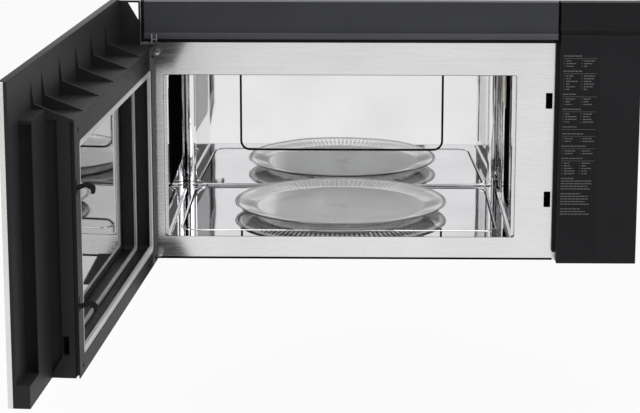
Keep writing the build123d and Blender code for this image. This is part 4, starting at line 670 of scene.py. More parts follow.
    def finish(self, finish: Finish, body: str, slot: str, smooth: float = PLAIN_ANGLE,
               stands_for: tuple[str, ...] = ()) -> bpy.types.Object:
        """Make it a piece of the object.

        Args:
            finish: its finish.
            body: the CAD body that it rides on.
            slot: the record's material slot; not used.
            smooth: the angle in degrees up to which neighbouring faces shade as one.
            stands_for: CAD nodes that it replaces.

        Returns:
            The new object.
        """
        bmesh.ops.scale(self.mesh, vec=(MM, MM, MM), verts=self.mesh.verts)
        data = bpy.data.meshes.new(self.name)
        self.mesh.to_mesh(data)
        self.mesh.free()
        data.shade_smooth()
        data.set_sharp_from_angle(angle=math.radians(smooth))
        made = placed(self.name, data)
        data.materials.append(finish.material())
        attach(made, body)
        if stands_for:
            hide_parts(*stands_for)
        LOG.info("%s: %d faces on %s", self.name, len(data.polygons), body)
        return made


def dress(node: str, finish: Finish, edge: float) -> None:
    """Give a CAD node its finish and soften its edges.

    Args:
        node: the node's name.
        finish: its finish.
        edge: the width of the softened edge, or 0 for none.
    """
    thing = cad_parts[node]
    thing.data.materials.clear()
    thing.data.materials.append(finish.material())
    if edge:
        joined = thing.modifiers.new("joined", "WELD")
        joined.merge_threshold = WELD * MM
        soft = thing.modifiers.new("edges", "BEVEL")
        soft.width = edge * MM
        soft.segments = 2
        soft.limit_method = "ANGLE"
        soft.angle_limit = math.radians(SOFT_ANGLE)
        soft.use_clamp_overlap = True
        even = thing.modifiers.new("even", "WEIGHTED_NORMAL")
        even.keep_sharp = True
    LOG.info("%s: %s", node, finish.name)


# ---------------------------------------------------------------- sub-assemblies
@dataclass
class SubAssembly:
    """Part of the microwave that is dressed and detailed as one.

    Its finishes give each of its CAD nodes a finish and the width of its softened edges.
    """

    finishes: ClassVar[dict[str, tuple[Finish, float]]] = {}

    def dress(self) -> None:
        """Give its CAD nodes their finishes."""
        for node, (finish, edge) in self.finishes.items():
            dress(node, finish, edge)

    def build(self) -> None:
        """Add its finer pieces."""


@dataclass(frozen=True)
class Screw:
    """A screw head with a cross recess, measured from the face that it holds down."""

    radius: float
    head: Span
    rounding: float
    recess: Span
    arm: Span
    sides: int = 20

    def drive(self, heads: Workpiece, slots: Workpiece, axis: Along, centre: Span, face: float) -> None:
        """Add its head, and a cross in its recess that its callers paint dark as the recess's shade.

        Args:
            heads: the piece that the head joins.
            slots: the piece that the recess's painted shade joins.
            axis: the axis that it lies along.
            centre: its two other coordinates.
            face: where the face is along that axis.
        """
        heads.rod(axis, centre, off(face, self.head), self.radius, self.sides, self.rounding)
        # The cross is a solid mark that paints the shade inside the recess.
        slots.cross(axis, centre, off(face, self.recess), self.arm)


@dataclass
class Cabinet(SubAssembly):
    """Case, base, wall plate and the fixings on them."""

    finishes = {
        "outer_case": (CASE_PAINT, 0.3), "case_screws": (GALVANISED, 0.6), "rear_plate": (GALVANISED, 0.2),
        "wall_plate": (GALVANISED, 0.3), "base_pan": (CASE_PAINT, 0.2), "cord_gland": (CONTROL_PLASTIC, 0.8),
        "exhaust_adapter": (GALVANISED, 0.2), "damper_flap": (GALVANISED, 0.2)}

    side: float = 379.5
    front: float = -391.2
    back: float = -2.0
    top: float = 404.0
    screw_reach: float = 2.4
    screw_edge: float = 30.0
    screw_foot: float = 22.0
    screw_drop: float = 24.0
    recess: Span = (-0.5, 0.02)
    recess_arm: Span = (4.2, 0.9)
    bead_places: tuple[float, ...] = (-300.0, -215.0, 215.0)
    bead_ends: Span = (70.0, 40.0)
    cross_beads: tuple[float, ...] = (40.0, 130.0)
    cross_bead_x: Span = (-160.0, 160.0)
    bead_width: float = 9.0
    bead_skin: Span = (-1.0, 1.2)
    bead_rounding: float = 1.1
    slot_count: int = 14
    slot_front: float = -300.0
    slot_pitch: float = 9.0
    slot_z: Span = (210.0, 256.0)
    slot_width: float = 3.0
    slot_skin: Span = (-0.3, 0.05)
    lip_skin: Span = (-0.2, 1.0)
    lip_width: float = 1.4
    lip_rounding: float = 0.4
    duct: tuple[Span, Span] = ((-138.5, 138.5), (-168.5, -62.5))
    duct_sheet: float = 0.8
    duct_screw_edge: float = 6.0
    duct_screw: Screw = Screw(3.2, (-0.2, 1.9), 0.7, (1.6, 1.92), (3.4, 0.8))
    press_x: tuple[Span, Span] = ((-250.0, -20.0), (20.0, 250.0))
    press_z: Span = (60.0, 200.0)
    press_skin: Span = (-0.3, 0.02)
    press_rings: tuple[tuple[float, float, float], ...] = ((0.0, 18.0, 3.0), (20.0, 12.0, 2.0))
    rear_screw: Screw = Screw(4.0, (-2.0, -0.02), 0.5, (-0.3, 0.0), (4.0, 0.9))
    rear_screw_x: tuple[float, ...] = (-340.0, -113.0, 113.0, 340.0)
    rear_screw_z: Span = (12.0, 384.0)
    hem_skin: Span = (-0.2, 0.7)
    hem_width: float = 9.0
    hem_end: float = 1.0
    hem_rounding: float = 0.3

    def screw_recesses(self) -> None:
        """Crosses of painted shade in the recesses of the case screws' heads."""
        work = Workpiece("screw_recesses")
        for side in (-1, 1):
            depth = off(side * (self.side + self.screw_reach), self.recess, side)
            for y in (self.front + self.screw_edge, self.back - self.screw_edge):
                for z in (self.screw_foot, self.top - self.screw_drop):
                    work.cross(Along.X, (y, z), depth, self.recess_arm)
        # The crosses are painted black as the shade inside the recesses.
        work.finish(DARK_SEAL_AND_SHADE, "cabinet", "galvanised")

    def beads(self) -> None:
        """Stiffening beads pressed into the case top, either side of the duct."""
        work, z = Workpiece("case_beads"), off(self.top, self.bead_skin)
        y = (self.front + self.bead_ends[0], self.back - self.bead_ends[1])
        for x in self.bead_places:
            work.block(around(x, self.bead_width), y, z, self.bead_rounding, steps=3)
        for place in self.cross_beads:
            work.block(self.cross_bead_x, around(self.front + place, self.bead_width), z,
                       self.bead_rounding, steps=3)
        work.finish(CASE_PAINT, "cabinet", "case_paint")

    def vent_slots(self) -> None:
        """Rows of air slots in the case's right side, each a dark slab of painted shade with a raised lip."""
        slots, lips = Workpiece("side_slot_shade"), Workpiece("side_slot_lips")
        for number in range(self.slot_count):
            y = self.slot_front + number * self.slot_pitch
            rear = y + self.slot_width
            slots.block(off(self.side, self.slot_skin), (y, rear), self.slot_z)
            lips.block(off(self.side, self.lip_skin), (rear, rear + self.lip_width), self.slot_z,
                       self.lip_rounding)
        # The slots are solid slabs painted black as the shade inside them.
        slots.finish(DARK_SEAL_AND_SHADE, "cabinet", "case_paint")
        lips.finish(CASE_PAINT, "cabinet", "case_paint")

    def duct_screws(self) -> None:
        """Screws that hold the exhaust adapter to the case top, with painted shade in their recesses."""
        heads, slots = Workpiece("duct_screws"), Workpiece("duct_screw_recess_shade")
        (left, right), places_y = (within(limits, self.duct_screw_edge) for limits in self.duct)
        for x in (left, 0.0, right):
            for y in places_y:
                self.duct_screw.drive(heads, slots, Along.Z, (x, y), self.top + self.duct_sheet)
        heads.finish(GALVANISED, "cabinet", "galvanised")
        # Their recesses are black crosses of painted shade.
        slots.finish(DARK_SEAL_AND_SHADE, "cabinet", "galvanised")

    def wall_plate_beads(self) -> None:
        """Pressed outlines and screws on the side that meets the wall, with painted shade in the screws'
        recesses.
        """
        work = Workpiece("wall_plate_beads")
        heads, slots = Workpiece("rear_screws"), Workpiece("rear_recess_shade")
        for x in self.press_x:
            for inset, corner, width in self.press_rings:
                work.hoop(within(x, inset), within(self.press_z, inset), self.press_skin, corner, width)
        for x in self.rear_screw_x:
            for z in self.rear_screw_z:
                self.rear_screw.drive(heads, slots, Along.Y, (x, z), 0.0)
        work.finish(MOTOR_STEEL, "cabinet", "galvanised")
        heads.finish(MOTOR_STEEL, "cabinet", "galvanised")
        # The screws' recesses are black crosses of painted shade.
        slots.finish(DARK_SEAL_AND_SHADE, "cabinet", "galvanised")

    def seams(self) -> None:
        """Hemmed edges along the case's front and back."""
        work, z = Workpiece("case_hem"), (self.hem_end, self.top - self.hem_end)
        for side in (-1, 1):
            x = off(side * self.side, self.hem_skin, side)
            for y in ((self.front, self.front + self.hem_width), (self.back - self.hem_width, self.back)):
                work.block(x, y, z, self.hem_rounding)
        work.finish(CASE_PAINT, "cabinet", "case_paint")

    def build(self) -> None:
        """Add its finer pieces."""
        self.screw_recesses()
        self.beads()
        self.vent_slots()
        self.duct_screws()
        self.wall_plate_beads()
        self.seams()


@dataclass
class GuidePrint:
    """Generic bars and rules on the control section's film."""

    seed: int = 11
    left: float = 262.0
    indent: float = 4.2
    second: float = 27.0
    right: float = 313.0
    top: float = 323.0
    pitch: float = 4.1
    bar: float = 1.3
    rule: float = 0.45
    mark: Span = (0.6, 1.5)
    after_heading: float = 3.9
    after_rule: float = 3.5
    section_gap: float = 3.4
    skin: Span = (-414.35, -414.3)
    word: Span = (2.2, 6.4)
    word_gap: float = 0.9
    shortest: float = 1.5
    heading: Span = (16.0, 44.0)
    item: Span = (5.0, 18.0)
    note_heading: Span = (16.0, 34.0)
    ragged: Span = (0.0, 14.0)
    lists: tuple[int, ...] = (3, 6, 3, 4, 0, 2, 2, 5)
    notes: tuple[int, ...] = (4, 4, 2)

    def line(self, work: Workpiece, draw: random.Random, start: float, end: float, z: float) -> None:
        """One line of word-like bars.

        Args:
            work: the print being made.
            draw: where the word lengths come from.
            start: where the line starts.
            end: where it ends at the latest.
            z: its middle.
        """
        x = start
        while x < end - self.shortest:
            length = min(draw.uniform(*self.word), end - x)
            work.block((x, x + length), self.skin, around(z, self.bar))
            x += length + self.word_gap

    def build(self) -> None:
        """Print the whole film."""
        work, draw, z = Workpiece("film_print"), random.Random(self.seed), self.top
        for rows in self.lists:
            self.line(work, draw, self.left, self.left + draw.uniform(*self.heading), z)
            z -= self.after_heading
            work.block((self.left, self.right), self.skin, around(z, self.rule))
            z -= self.after_rule
            for _ in range(rows):
                for column in (self.left, self.left + self.second):
                    work.block(off(column, self.mark), self.skin, around(z, self.bar))
                    start = column + self.indent
                    self.line(work, draw, start, start + draw.uniform(*self.item), z)
                z -= self.pitch
            z -= self.section_gap
        for rows in self.notes:
            self.line(work, draw, self.left, self.left + draw.uniform(*self.note_heading), z)
            z -= self.pitch
            for _ in range(rows):
                self.line(work, draw, self.left, self.right - draw.uniform(*self.ragged), z)
                z -= self.pitch
            z -= self.section_gap
        work.finish(FILM_INK, "cabinet", "film")


@dataclass
class Front(SubAssembly):
    """Flange, fascia, louvre, corner cap and control section."""

    finishes = {
        "front_flange": (FLANGE_STEEL, 0.25), "vent_fascia": (TRIM_PLASTIC, 0.5),
        "vent_louvre": (CONTROL_PLASTIC, 0.3), "charcoal_filter": (CHARCOAL, 0.0),
        "corner_cap": (CAP_PLASTIC, 0.6), "control_cover": (CONTROL_PLASTIC, 0.6), "guide_film": (FILM, 0.0),
        "seam_strip": (CONTROL_PLASTIC, 0.4), "fascia_clip": (GALVANISED, 0.2)}

    flange: float = -392.0
    slot_x: Span = (238.5, 248.5)
    slot_heights: tuple[float, float] = (96.2, 250.2)
    slot_tall: float = 24.4
    lining: float = 0.6
    lining_skin: Span = (0.1, 8.0)
    fascia: Span = (-372.0, 252.8)
    lip_y: Span = (-416.8, -416.2)
    lip_z: Span = (347.8, 357.0)
    film_x: Span = (318.7, 319.05)
    film_y: Span = (-414.34, -414.0)
    film_z: Span = (8.5, 350.2)
    blade_count: int = 4
    blade_foot: float = 350.0
    blade_pitch: float = 12.0
    blade_y: Span = (-404.0, -393.0)
    blade_step: float = 1.5
    blade_sheet: float = 1.2
    blade_end: float = 6.0
    opening_x: Span = (-346.3, 193.9)
    opening_z: Span = (35.5, 289.5)
    opening_corner: float = 3.4
    joint: float = 0.6
    joint_skin: Span = (-0.2, 0.1)
    foot_left: float = -378.8
    foot_skin: Span = (-0.6, 0.2)
    foot_z: Span = (0.1, 3.2)

    def film_edge(self) -> None:
        """The film's cut edge, a faint line down its right side."""
        work = Workpiece("film_edge")
        work.block(self.film_x, self.film_y, self.film_z)
        work.finish(FILM_LINE, "cabinet", "film")

    def air_blades(self) -> None:
        """Blades behind the slot under the fascia, each set back a little from the one below."""
        work, (front, back) = Workpiece("air_blades"), self.blade_y
        for number in range(self.blade_count):
            z = self.blade_foot + self.blade_pitch * number
            work.block(within(self.fascia, self.blade_end), (front + self.blade_step * number, back),
                       (z, z + self.blade_sheet), rounding=0.4)
        work.finish(CONTROL_PLASTIC, "cabinet", "control_plastic")

    def slot_linings(self) -> None:
        """Dark strips on the sides of the two latch slots, painting the shade inside them."""
        work, (left, right) = Workpiece("latch_slot_shade"), self.slot_x
        for middle in self.slot_heights:
            for x in ((left, left + self.lining), (right - self.lining, right)):
                work.block(x, off(self.flange, self.lining_skin), around(middle, self.slot_tall))
        # The strips are painted shade inside the slots.
        work.finish(DARK_SEAL_AND_SHADE, "cabinet", "control_plastic")

    def opening_edge(self) -> None:
        """Fine dark joint round the cavity opening."""
        work = Workpiece("opening_edge")
        work.hoop(self.opening_x, self.opening_z, off(self.flange, self.joint_skin), self.opening_corner,
                  self.joint)
        work.finish(DARK_SEAL_AND_SHADE, "cabinet", "flange_steel")

    def foot_line(self) -> None:
        """Dark strip along the flange's foot, painted shade under the base's edge."""
        work = Workpiece("flange_foot_shade")
        x = (self.foot_left, self.fascia[1])
        work.block(x, off(self.flange, self.foot_skin), self.foot_z, rounding=0.2)
        # The strip is painted shade; the base pan itself is pale paint.
        work.finish(DARK_SEAL_AND_SHADE, "cabinet", "flange_steel")

    def lip(self) -> None:
        """Lip along the fascia's foot, painted lighter as a highlight for the light that its slope catches.
        """
        work = Workpiece("fascia_lip_highlight")
        work.block(self.fascia, self.lip_y, self.lip_z, rounding=0.25)
        # Its lighter finish is a painted highlight.
        work.finish(LIP_PLASTIC_HIGHLIGHT, "cabinet", "trim_plastic")

    def build(self) -> None:
        """Add its finer pieces."""
        self.lip()
        GuidePrint().build()
        self.film_edge()
        self.air_blades()
        self.slot_linings()
        self.opening_edge()
        self.foot_line()


@dataclass
class Cavity(SubAssembly):
    """Oven cavity with its lamp, waveguide cover and turntable drive."""

    finishes = {
        "cavity_liner": (CAVITY_STEEL, 0.0), "cavity_back_panel": (CAVITY_STEEL, 0.5),
        "waveguide_cover": (MICA, 0.2), "cavity_lamp": (PALE_PLASTIC, 0.5),
        "turntable_motor": (MOTOR_STEEL, 0.4)}

    x: Span = (-341.2, 188.8)
    z: Span = (36.0, 302.0)
    back: float = -20.0
    pad: float = -23.0
    mouth: float = -386.0
    bend: float = 13.0
    seam: float = 3.5
    back_seam: float = 3.1
    panel_x: Span = (-249.2, 96.8)
    panel_z: Span = (98.0, 294.6)
    panel_corner: float = 17.0
    groove: float = 3.6
    groove_skin: Span = (-1.05, -0.7)
    pad_x: Span = (-325.6, 173.2)
    pad_z: Span = (39.7, 298.3)
    pad_corner: float = 20.0
    pad_skin: Span = (-0.9, 0.1)
    pad_edge: float = 0.8
    bulge: float = 3.0
    press_x: Span = (-324.0, 168.0)
    press_y: Span = (-349.0, -42.0)
    press_line: float = 2.2
    press_skin: Span = (-0.25, 0.1)
    bead_gap: float = 3.4
    bead_width: float = 3.2
    bead_skin: Span = (-0.9, 0.1)
    bead_edge: float = 0.8
    left_vent: tuple[Span, Span] = ((-356.0, -108.0), (104.0, 286.0))
    right_vent: tuple[Span, Span] = ((-318.0, -204.0), (62.0, 284.0))
    vent_corner: float = 24.0
    louvre_pitch: float = 7.0
    louvre_rise: float = 1.0
    louvre_foot: float = 0.05
    gap_skin: Span = (0.02, 1.03)
    gap_width: Span = (-0.15, 0.12)
    rib_places: tuple[float, ...] = (-344.0, -150.0, -96.0, -54.0)
    rib: float = 2.6
    rib_depth: float = 1.2
    rib_ends: Span = (16.0, 14.0)
    rib_slot: Span = (3.6, 7.6)
    rib_slot_skin: Span = (-0.25, 0.1)
    rib_slot_end: float = 4.0

    def bends(self) -> None:
        """Rounded bends where the sheets meet."""
        work, floor = Workpiece("cavity_bends"), self.z[0]
        for x, way in zip(self.x, (1, -1)):
            work.fillet(Along.Z, (x, self.back), self.z, self.bend, (way, -1))
            work.fillet(Along.Y, (x, floor), (self.mouth, self.back), self.seam, (way, 1), facets=5)
        work.fillet(Along.X, (self.back, floor), self.x, self.back_seam, (-1, 1), facets=5)
        work.finish(CAVITY_STEEL, "cabinet", "cavity_steel", BEND_ANGLE)

    def back_wall(self) -> None:
        """Slightly bowed polished face of the back wall, with a dark ring of painted shade in the groove
        round its panel.
        """
        skin, line = Workpiece("back_wall_skin"), Workpiece("back_wall_groove_shade")
        skin.plate(self.pad_x, self.pad_z, off(self.pad, self.pad_skin), self.pad_corner, self.pad_edge)
        line.hoop(self.panel_x, self.panel_z, off(self.pad, self.groove_skin), self.panel_corner, self.groove)
        for work in (skin, line):
            work.bow(self.pad, sum(self.pad_x) / 2, (self.pad_x[1] - self.pad_x[0]) / 2, self.bulge)
        skin.finish(CAVITY_STEEL, "cabinet", "cavity_steel", MIRROR_ANGLE)
        # The groove's ring is painted black as the shade in the groove.
        line.finish(DARK_SEAL_AND_SHADE, "cabinet", "cavity_steel")

    def floor_press(self) -> None:
        """Pressed outline round the floor, its groove a dark ring of painted shade, built upright and laid
        flat.
        """
        line, bead, floor = Workpiece("floor_groove_shade"), Workpiece("floor_bead"), -self.z[0]
        line.hoop(self.press_x, self.press_y, off(floor, self.press_skin), self.pad_corner, self.press_line)
        bead.hoop(within(self.press_x, -self.bead_gap), within(self.press_y, -self.bead_gap),
                  off(floor, self.bead_skin), self.pad_corner + self.bead_gap, self.bead_width)
        bead.soften(bead.front_rim(floor + self.bead_skin[0] / 2), self.bead_edge, steps=3)
        # The groove's ring is painted black as the shade in the groove; the bead is the floor's own steel.
        for work, finish in ((line, DARK_SEAL_AND_SHADE), (bead, CAVITY_STEEL)):
            work.lay()
            work.finish(finish, "cabinet", "cavity_steel", BEND_ANGLE)

    def louvres(self, side: str, finish: Finish, wall: float, way: int, area: tuple[Span, Span]) -> None:
        """Pressed louvres in a side wall, their openings towards the door dark slabs of painted shade.

        Args:
            side: the wall's name.
            finish: the finish of its blades.
            wall: the wall's X.
            way: 1 where the wall faces +X, or -1.
            area: the limits of the louvred patch along Y and Z.
        """
        (front, back), (foot, top) = area
        blades, gaps = Workpiece(f"{side}_wall_louvres"), Workpiece(f"{side}_wall_gap_shade")
        for number in range(int((back - front) / self.louvre_pitch)):
            y = front + number * self.louvre_pitch
            inside = min(y - front, back - y, self.vent_corner)
            short = self.vent_corner - math.sqrt(self.vent_corner ** 2 - (self.vent_corner - inside) ** 2)
            z = (foot + short, top - short)
            for vert in blades.block((0.0, self.louvre_rise), (y, y + self.louvre_pitch), z):
                if vert.co.y > y + self.louvre_pitch / 2 and vert.co.x > self.louvre_rise / 2:
                    vert.co.x = self.louvre_foot
            # Each gap is a thin black slab of painted shade in a louvre's opening.
            gaps.block(self.gap_skin, off(y, self.gap_width), z)
        for work, skin in ((blades, finish), (gaps, VENT_SHADE)):
            bmesh.ops.scale(work.mesh, vec=(way, 1.0, 1.0), verts=work.mesh.verts)
            bmesh.ops.translate(work.mesh, vec=(wall, 0.0, 0.0), verts=work.mesh.verts)
            bmesh.ops.recalc_face_normals(work.mesh, faces=work.mesh.faces)
            work.finish(skin, "cabinet", "cavity_steel")

    def right_wall(self) -> None:
        """Upright ribs of the right wall, with dark slots of painted shade beside them."""
        ribs, slots, wall = Workpiece("right_wall_ribs"), Workpiece("right_wall_slot_shade"), self.x[1]
        z = (self.z[0] + self.rib_ends[0], self.z[1] - self.rib_ends[1])
        for y in self.rib_places:
            ribs.rod(Along.Z, (wall + self.rib_depth, y), z, self.rib, sides=24, rounding=0.6)
            slots.block(off(wall, self.rib_slot_skin), off(y, self.rib_slot), within(z, self.rib_slot_end))
        ribs.finish(CAVITY_STEEL, "cabinet", "cavity_steel")
        # The slots are black slabs of painted shade.
        slots.finish(DARK_SEAL_AND_SHADE, "cabinet", "cavity_steel")

    def build(self) -> None:
        """Add its finer pieces."""
        self.bends()
        self.back_wall()
        self.floor_press()
        # The left louvres take the darker steel, painted shade for the dark reflections there; the right ones
        # take the cavity's own steel.
        self.louvres("left", LOUVRE_STEEL_SHADED, self.x[0], 1, self.left_vent)
        self.louvres("right", CAVITY_STEEL, self.x[1], -1, self.right_vent)
        self.right_wall()


@dataclass
class Turntable(SubAssembly):
    """Glass plate, coupler, roller ring and rollers."""

    finishes = {
        "drive_coupler": (PALE_PLASTIC, 0.5), "roller_ring": (PALE_PLASTIC, 0.4),
        "roller_1": (PALE_PLASTIC, 0.5), "roller_2": (PALE_PLASTIC, 0.5), "roller_3": (PALE_PLASTIC, 0.5)}

    centre: tuple[float, float] = (-76.2, -206.0)
    foot: float = 40.5
    radius: float = 172.0
    rise: float = 12.5
    thick: float = 4.0
    rim: float = 34.0
    facets: int = 128
    lugs: int = 3
    lug: Point = (7.0, 5.0, 3.6)
    lug_radius: float = 15.5
    lug_z: float = -1.2
    flutes: int = 120
    flute: Point = (20.0, 2.6, 0.9)
    flute_out: float = 14.0
    flute_z: float = 5.35
    slope_rise: float = 8.0
    slope_run: float = 23.0

    def spread(self, work: Workpiece, count: int, size: Point, place: Point, start: float = 0.0,
               lean: float = 0.0) -> None:
        """Set equal blocks round the plate's axis.

        Args:
            work: the piece that they join.
            count: how many there are.
            size: the size of each.
            place: the first one's middle, from the axis and the plate's foot.
            start: how far round the first one is, in shares of the pitch.
            lean: how far each leans outwards, in radians.
        """
        shape = Matrix.Translation(place) @ Matrix.Rotation(-lean, 4, "Y") @ Matrix.Diagonal((*size, 1.0))
        for number in range(count):
            turn = Matrix.Rotation(2 * math.pi * (number + start) / count, 4, "Z")
            bmesh.ops.create_cube(work.mesh, size=1.0,
                                  matrix=Matrix.Translation((*self.centre, self.foot)) @ turn @ shape)

    def plate(self) -> None:
        """Pressed glass plate with a rolled rim, and the lugs that the coupler turns."""
        work = Workpiece("turntable_glass")
        edge, slope, thick = self.radius, self.radius - self.rim, self.thick
        outline = [(0.0, 0.0), (slope, 0.0), (slope + 3, 1.4), (edge - 8, 9.4), (edge - 4, 10.2),
                   (edge - 1.4, 10.3), (edge - 0.2, 11.0), (edge, 11.6), (edge - 0.3, 12.2),
                   (edge - 1.4, self.rise), (edge - 3.4, self.rise), (edge - 5.2, 12.1), (edge - 8, 11.2),
                   (slope + 3, 4.9), (slope - 0.8, thick + 0.1), (slope - 4, thick), (0.0, thick)]
        work.spun(outline, (*self.centre, self.foot), self.facets)
        self.spread(work, self.lugs, self.lug, (self.lug_radius, 0.0, self.lug_z), 0.5)
        work.finish(PRESSED_GLASS, "turntable", "clear_glass", BEND_ANGLE, ("glass_plate",))

    def rim_shade(self) -> None:
        """The rim and the flutes under the slope, in a darker copy of the plate's glass that paints the shade
        they show because they face sideways.
        """
        work = Workpiece("turntable_rim_shade")
        edge, slope = self.radius, self.radius - self.rim
        outline = [(edge - 4.2, 10.05), (edge - 0.9, 10.2), (edge + 0.05, 11.0), (edge + 0.15, 11.7),
                   (edge - 0.3, 12.4), (edge - 1.4, 12.65), (edge - 3.6, 12.65), (edge - 5.0, 12.3),
                   (edge - 4.6, 12.0)]
        work.spun(outline, (*self.centre, self.foot), self.facets)
        self.spread(work, self.flutes, self.flute, (slope + self.flute_out, 0.0, self.flute_z),
                    lean=math.atan2(self.slope_rise, self.slope_run))
        # The darker glass is painted shade.
        work.finish(RIM_GLASS_SHADED, "turntable", "clear_glass", BEND_ANGLE)

    def build(self) -> None:
        """Add its finer pieces."""
        self.plate()
        self.rim_shade()


@dataclass(frozen=True)
class KeyRow:
    """A row of printed bars on the touch glass."""

    foot: float
    length: float
    height: float
    columns: tuple[int, ...] = (-1, 0, 1)


@dataclass
class Door(SubAssembly):
    """Door with its glass, choke, window and latch."""

    finishes = {
        "door_skin": (SKIN_STEEL, 0.4), "door_glass": (SMOKED_GLASS, 0.4),
        "touch_board": (CIRCUIT_BOARD, 0.0), "door_frame": (DOOR_PLASTIC, 0.5),
        "door_choke": (CHOKE_PAINT, 0.2), "choke_cover": (DOOR_PLASTIC, 0.4),
        "window_bezel": (BEZEL_PLASTIC, 0.4), "inner_glass": (CLEAR_GLASS, 0.3),
        "door_screen": (SCREEN_STEEL, 0.0), "hinge_pins": (GALVANISED, 0.3),
        "latch_pawl": (CONTROL_PLASTIC, 0.4), "hinge_brackets": (GALVANISED, 0.3)}

    face: float = -458.5
    sheet: float = 1.2
    window_x: Span = (-342.0, 219.0)
    window_z: Span = (24.0, 305.0)
    window_corner: float = 9.0
    trim: float = 1.2
    trim_gap: float = 0.05
    touch_x: Span = (264.5, 348.5)
    touch_z: Span = (60.0, 330.0)
    key_pitch: Span = (24.0, 19.0)
    digit_size: float = 9.0
    digit_foot: float = 200.0
    clock_size: float = 17.0
    clock_foot: float = 284.0
    print_skin: Span = (-0.05, -0.01)
    print_face: float = -0.03
    bars: tuple[KeyRow, ...] = (
        KeyRow(262.0, 15.0, 1.2), KeyRow(248.0, 15.0, 1.2), KeyRow(234.0, 15.0, 1.2),
        KeyRow(146.0, 16.0, 1.4, (-1, 1)), KeyRow(112.0, 16.0, 1.4), KeyRow(90.0, 10.0, 1.2))
    ends: Span = (-379.0, 378.5)
    height: Span = (2.0, 406.0)
    hem_inset: float = 0.2
    hem: float = 2.2
    hem_skin: Span = (0.02, 0.4)
    hem_corner: float = 1.5
    buffer: float = 3.0
    buffer_x: Span = (-290.0, 226.0)
    buffer_y: Span = (-395.2, -393.8)
    buffer_z: Span = (13.0, 321.0)
    cap_ends: Span = (0.1, 0.4)
    cap_y: Span = (-458.25, -447.5)
    cap_skin: Span = (-0.5, 0.5)
    cap_rounding: float = 0.35
    ring: float = 9.0
    ring_y: Span = (-395.2, -399.4)
    joint: float = 1.0
    joint_y: Span = (-421.0, -419.6)
    joint_inset: float = 0.2
    spring: Span = (265.2, 285.2)
    latch_lift: float = 4.0

    def window_trim(self) -> None:
        """Fine dark trim round the outer window and the touch area."""
        for name, x, z in (("outer_window_trim", self.window_x, self.window_z),
                           ("touch_trim", self.touch_x, self.touch_z)):
            work = Workpiece(name)
            work.hoop(x, z, off(self.face, (self.trim_gap, self.sheet)), self.window_corner, self.trim)
            work.swing().finish(DARK_SEAL_AND_SHADE, "door", "skin_steel")

    def keys(self) -> None:
        """Generic figures and bars on the touch glass, with a clock above them."""
        glass, middle = self.face + self.sheet, sum(self.touch_x) / 2
        across, down = self.key_pitch
        printed, clock = Workpiece("touch_figures"), Workpiece("clock_figures")
        for number in range(1, 10):
            row, column = divmod(number - 1, 3)
            printed.words(str(number), self.digit_size, middle + (column - 1) * across,
                          self.digit_foot - row * down, glass + self.print_face)
        printed.words("0", self.digit_size, middle, self.digit_foot - 3 * down, glass + self.print_face)
        for row in self.bars:
            for column in row.columns:
                printed.block(around(middle + column * across, row.length), off(glass, self.print_skin),
                              (row.foot, row.foot + row.height))
        clock.words("12:00", self.clock_size, middle, self.clock_foot, glass + self.print_face)
        printed.swing().finish(PALE_INK, "door", "smoked_glass")
        clock.swing().finish(DISPLAY_INK, "door", "smoked_glass")

    def hems(self) -> None:
        """Folded hem round the door skin's edge."""
        work = Workpiece("skin_hem")
        work.hoop(within(self.ends, self.hem_inset), within(self.height, self.hem_inset),
                  off(self.face, self.hem_skin), self.hem_corner, self.hem)
        work.swing().finish(SKIN_STEEL, "door", "skin_steel")

    def buffers(self) -> None:
        """Small rubber buffers on the block's face, in its corners."""
        work = Workpiece("door_buffers")
        for x in self.buffer_x:
            for z in self.buffer_z:
                work.rod(Along.Y, (x, z), self.buffer_y, self.buffer, sides=20, rounding=0.5)
        work.swing().finish(DARK_SEAL_AND_SHADE, "door", "door_plastic")

    def top_cap(self) -> None:
        """Dark strip over the folded top of the skin."""
        work = Workpiece("door_top_cap")
        work.block((self.ends[0] + self.cap_ends[0], self.ends[1] - self.cap_ends[1]), self.cap_y,
                   off(self.height[1], self.cap_skin), self.cap_rounding)
        work.swing().finish(DOOR_PLASTIC, "door", "door_plastic")

    def window_ring(self) -> None:
        """Pale ring in the mouth of the window well."""
        work = Workpiece("window_ring")
        work.hoop(self.window_x, self.window_z, self.ring_y, self.window_corner, self.ring)
        work.swing().finish(BEZEL_PLASTIC, "door", "bezel_plastic")

    def gasket(self) -> None:
        """Dark joint round the inner window frame."""
        work = Workpiece("window_joint")
        work.hoop(within(self.window_x, self.joint_inset), within(self.window_z, self.joint_inset),
                  self.joint_y, self.window_corner, self.joint)
        work.swing().finish(DARK_SEAL_AND_SHADE, "door", "bezel_plastic")

    def coil(self) -> None:
        """The latch spring, which shortens as the latch lifts."""
        work = Workpiece("latch_coil")
        work.mesh.from_mesh(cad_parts["latch_spring"].data)
        bmesh.ops.scale(work.mesh, vec=(1 / MM, 1 / MM, 1 / MM), verts=work.mesh.verts)
        bmesh.ops.remove_doubles(work.mesh, verts=work.mesh.verts, dist=NEAR)
        made = work.finish(GALVANISED, "door", "motor_steel", COIL_ANGLE, ("latch_spring",))
        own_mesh(made)

    def build(self) -> None:
        """Add its finer pieces."""
        self.window_trim()
        self.keys()
        self.hems()
        self.buffers()
        self.top_cap()
        self.window_ring()
        self.gasket()
        self.coil()


@dataclass
class Interlock(SubAssembly):
    """Latch bracket, switches and plungers behind the flange."""

    finishes = {
        "interlock_bracket": (DARK_SEAL_AND_SHADE, 0.4), "interlock_switches": (CAP_PLASTIC, 0.4),
        "interlock_plunger_top": (CONTROL_PLASTIC, 0.3), "interlock_plunger_bottom": (CONTROL_PLASTIC, 0.3)}


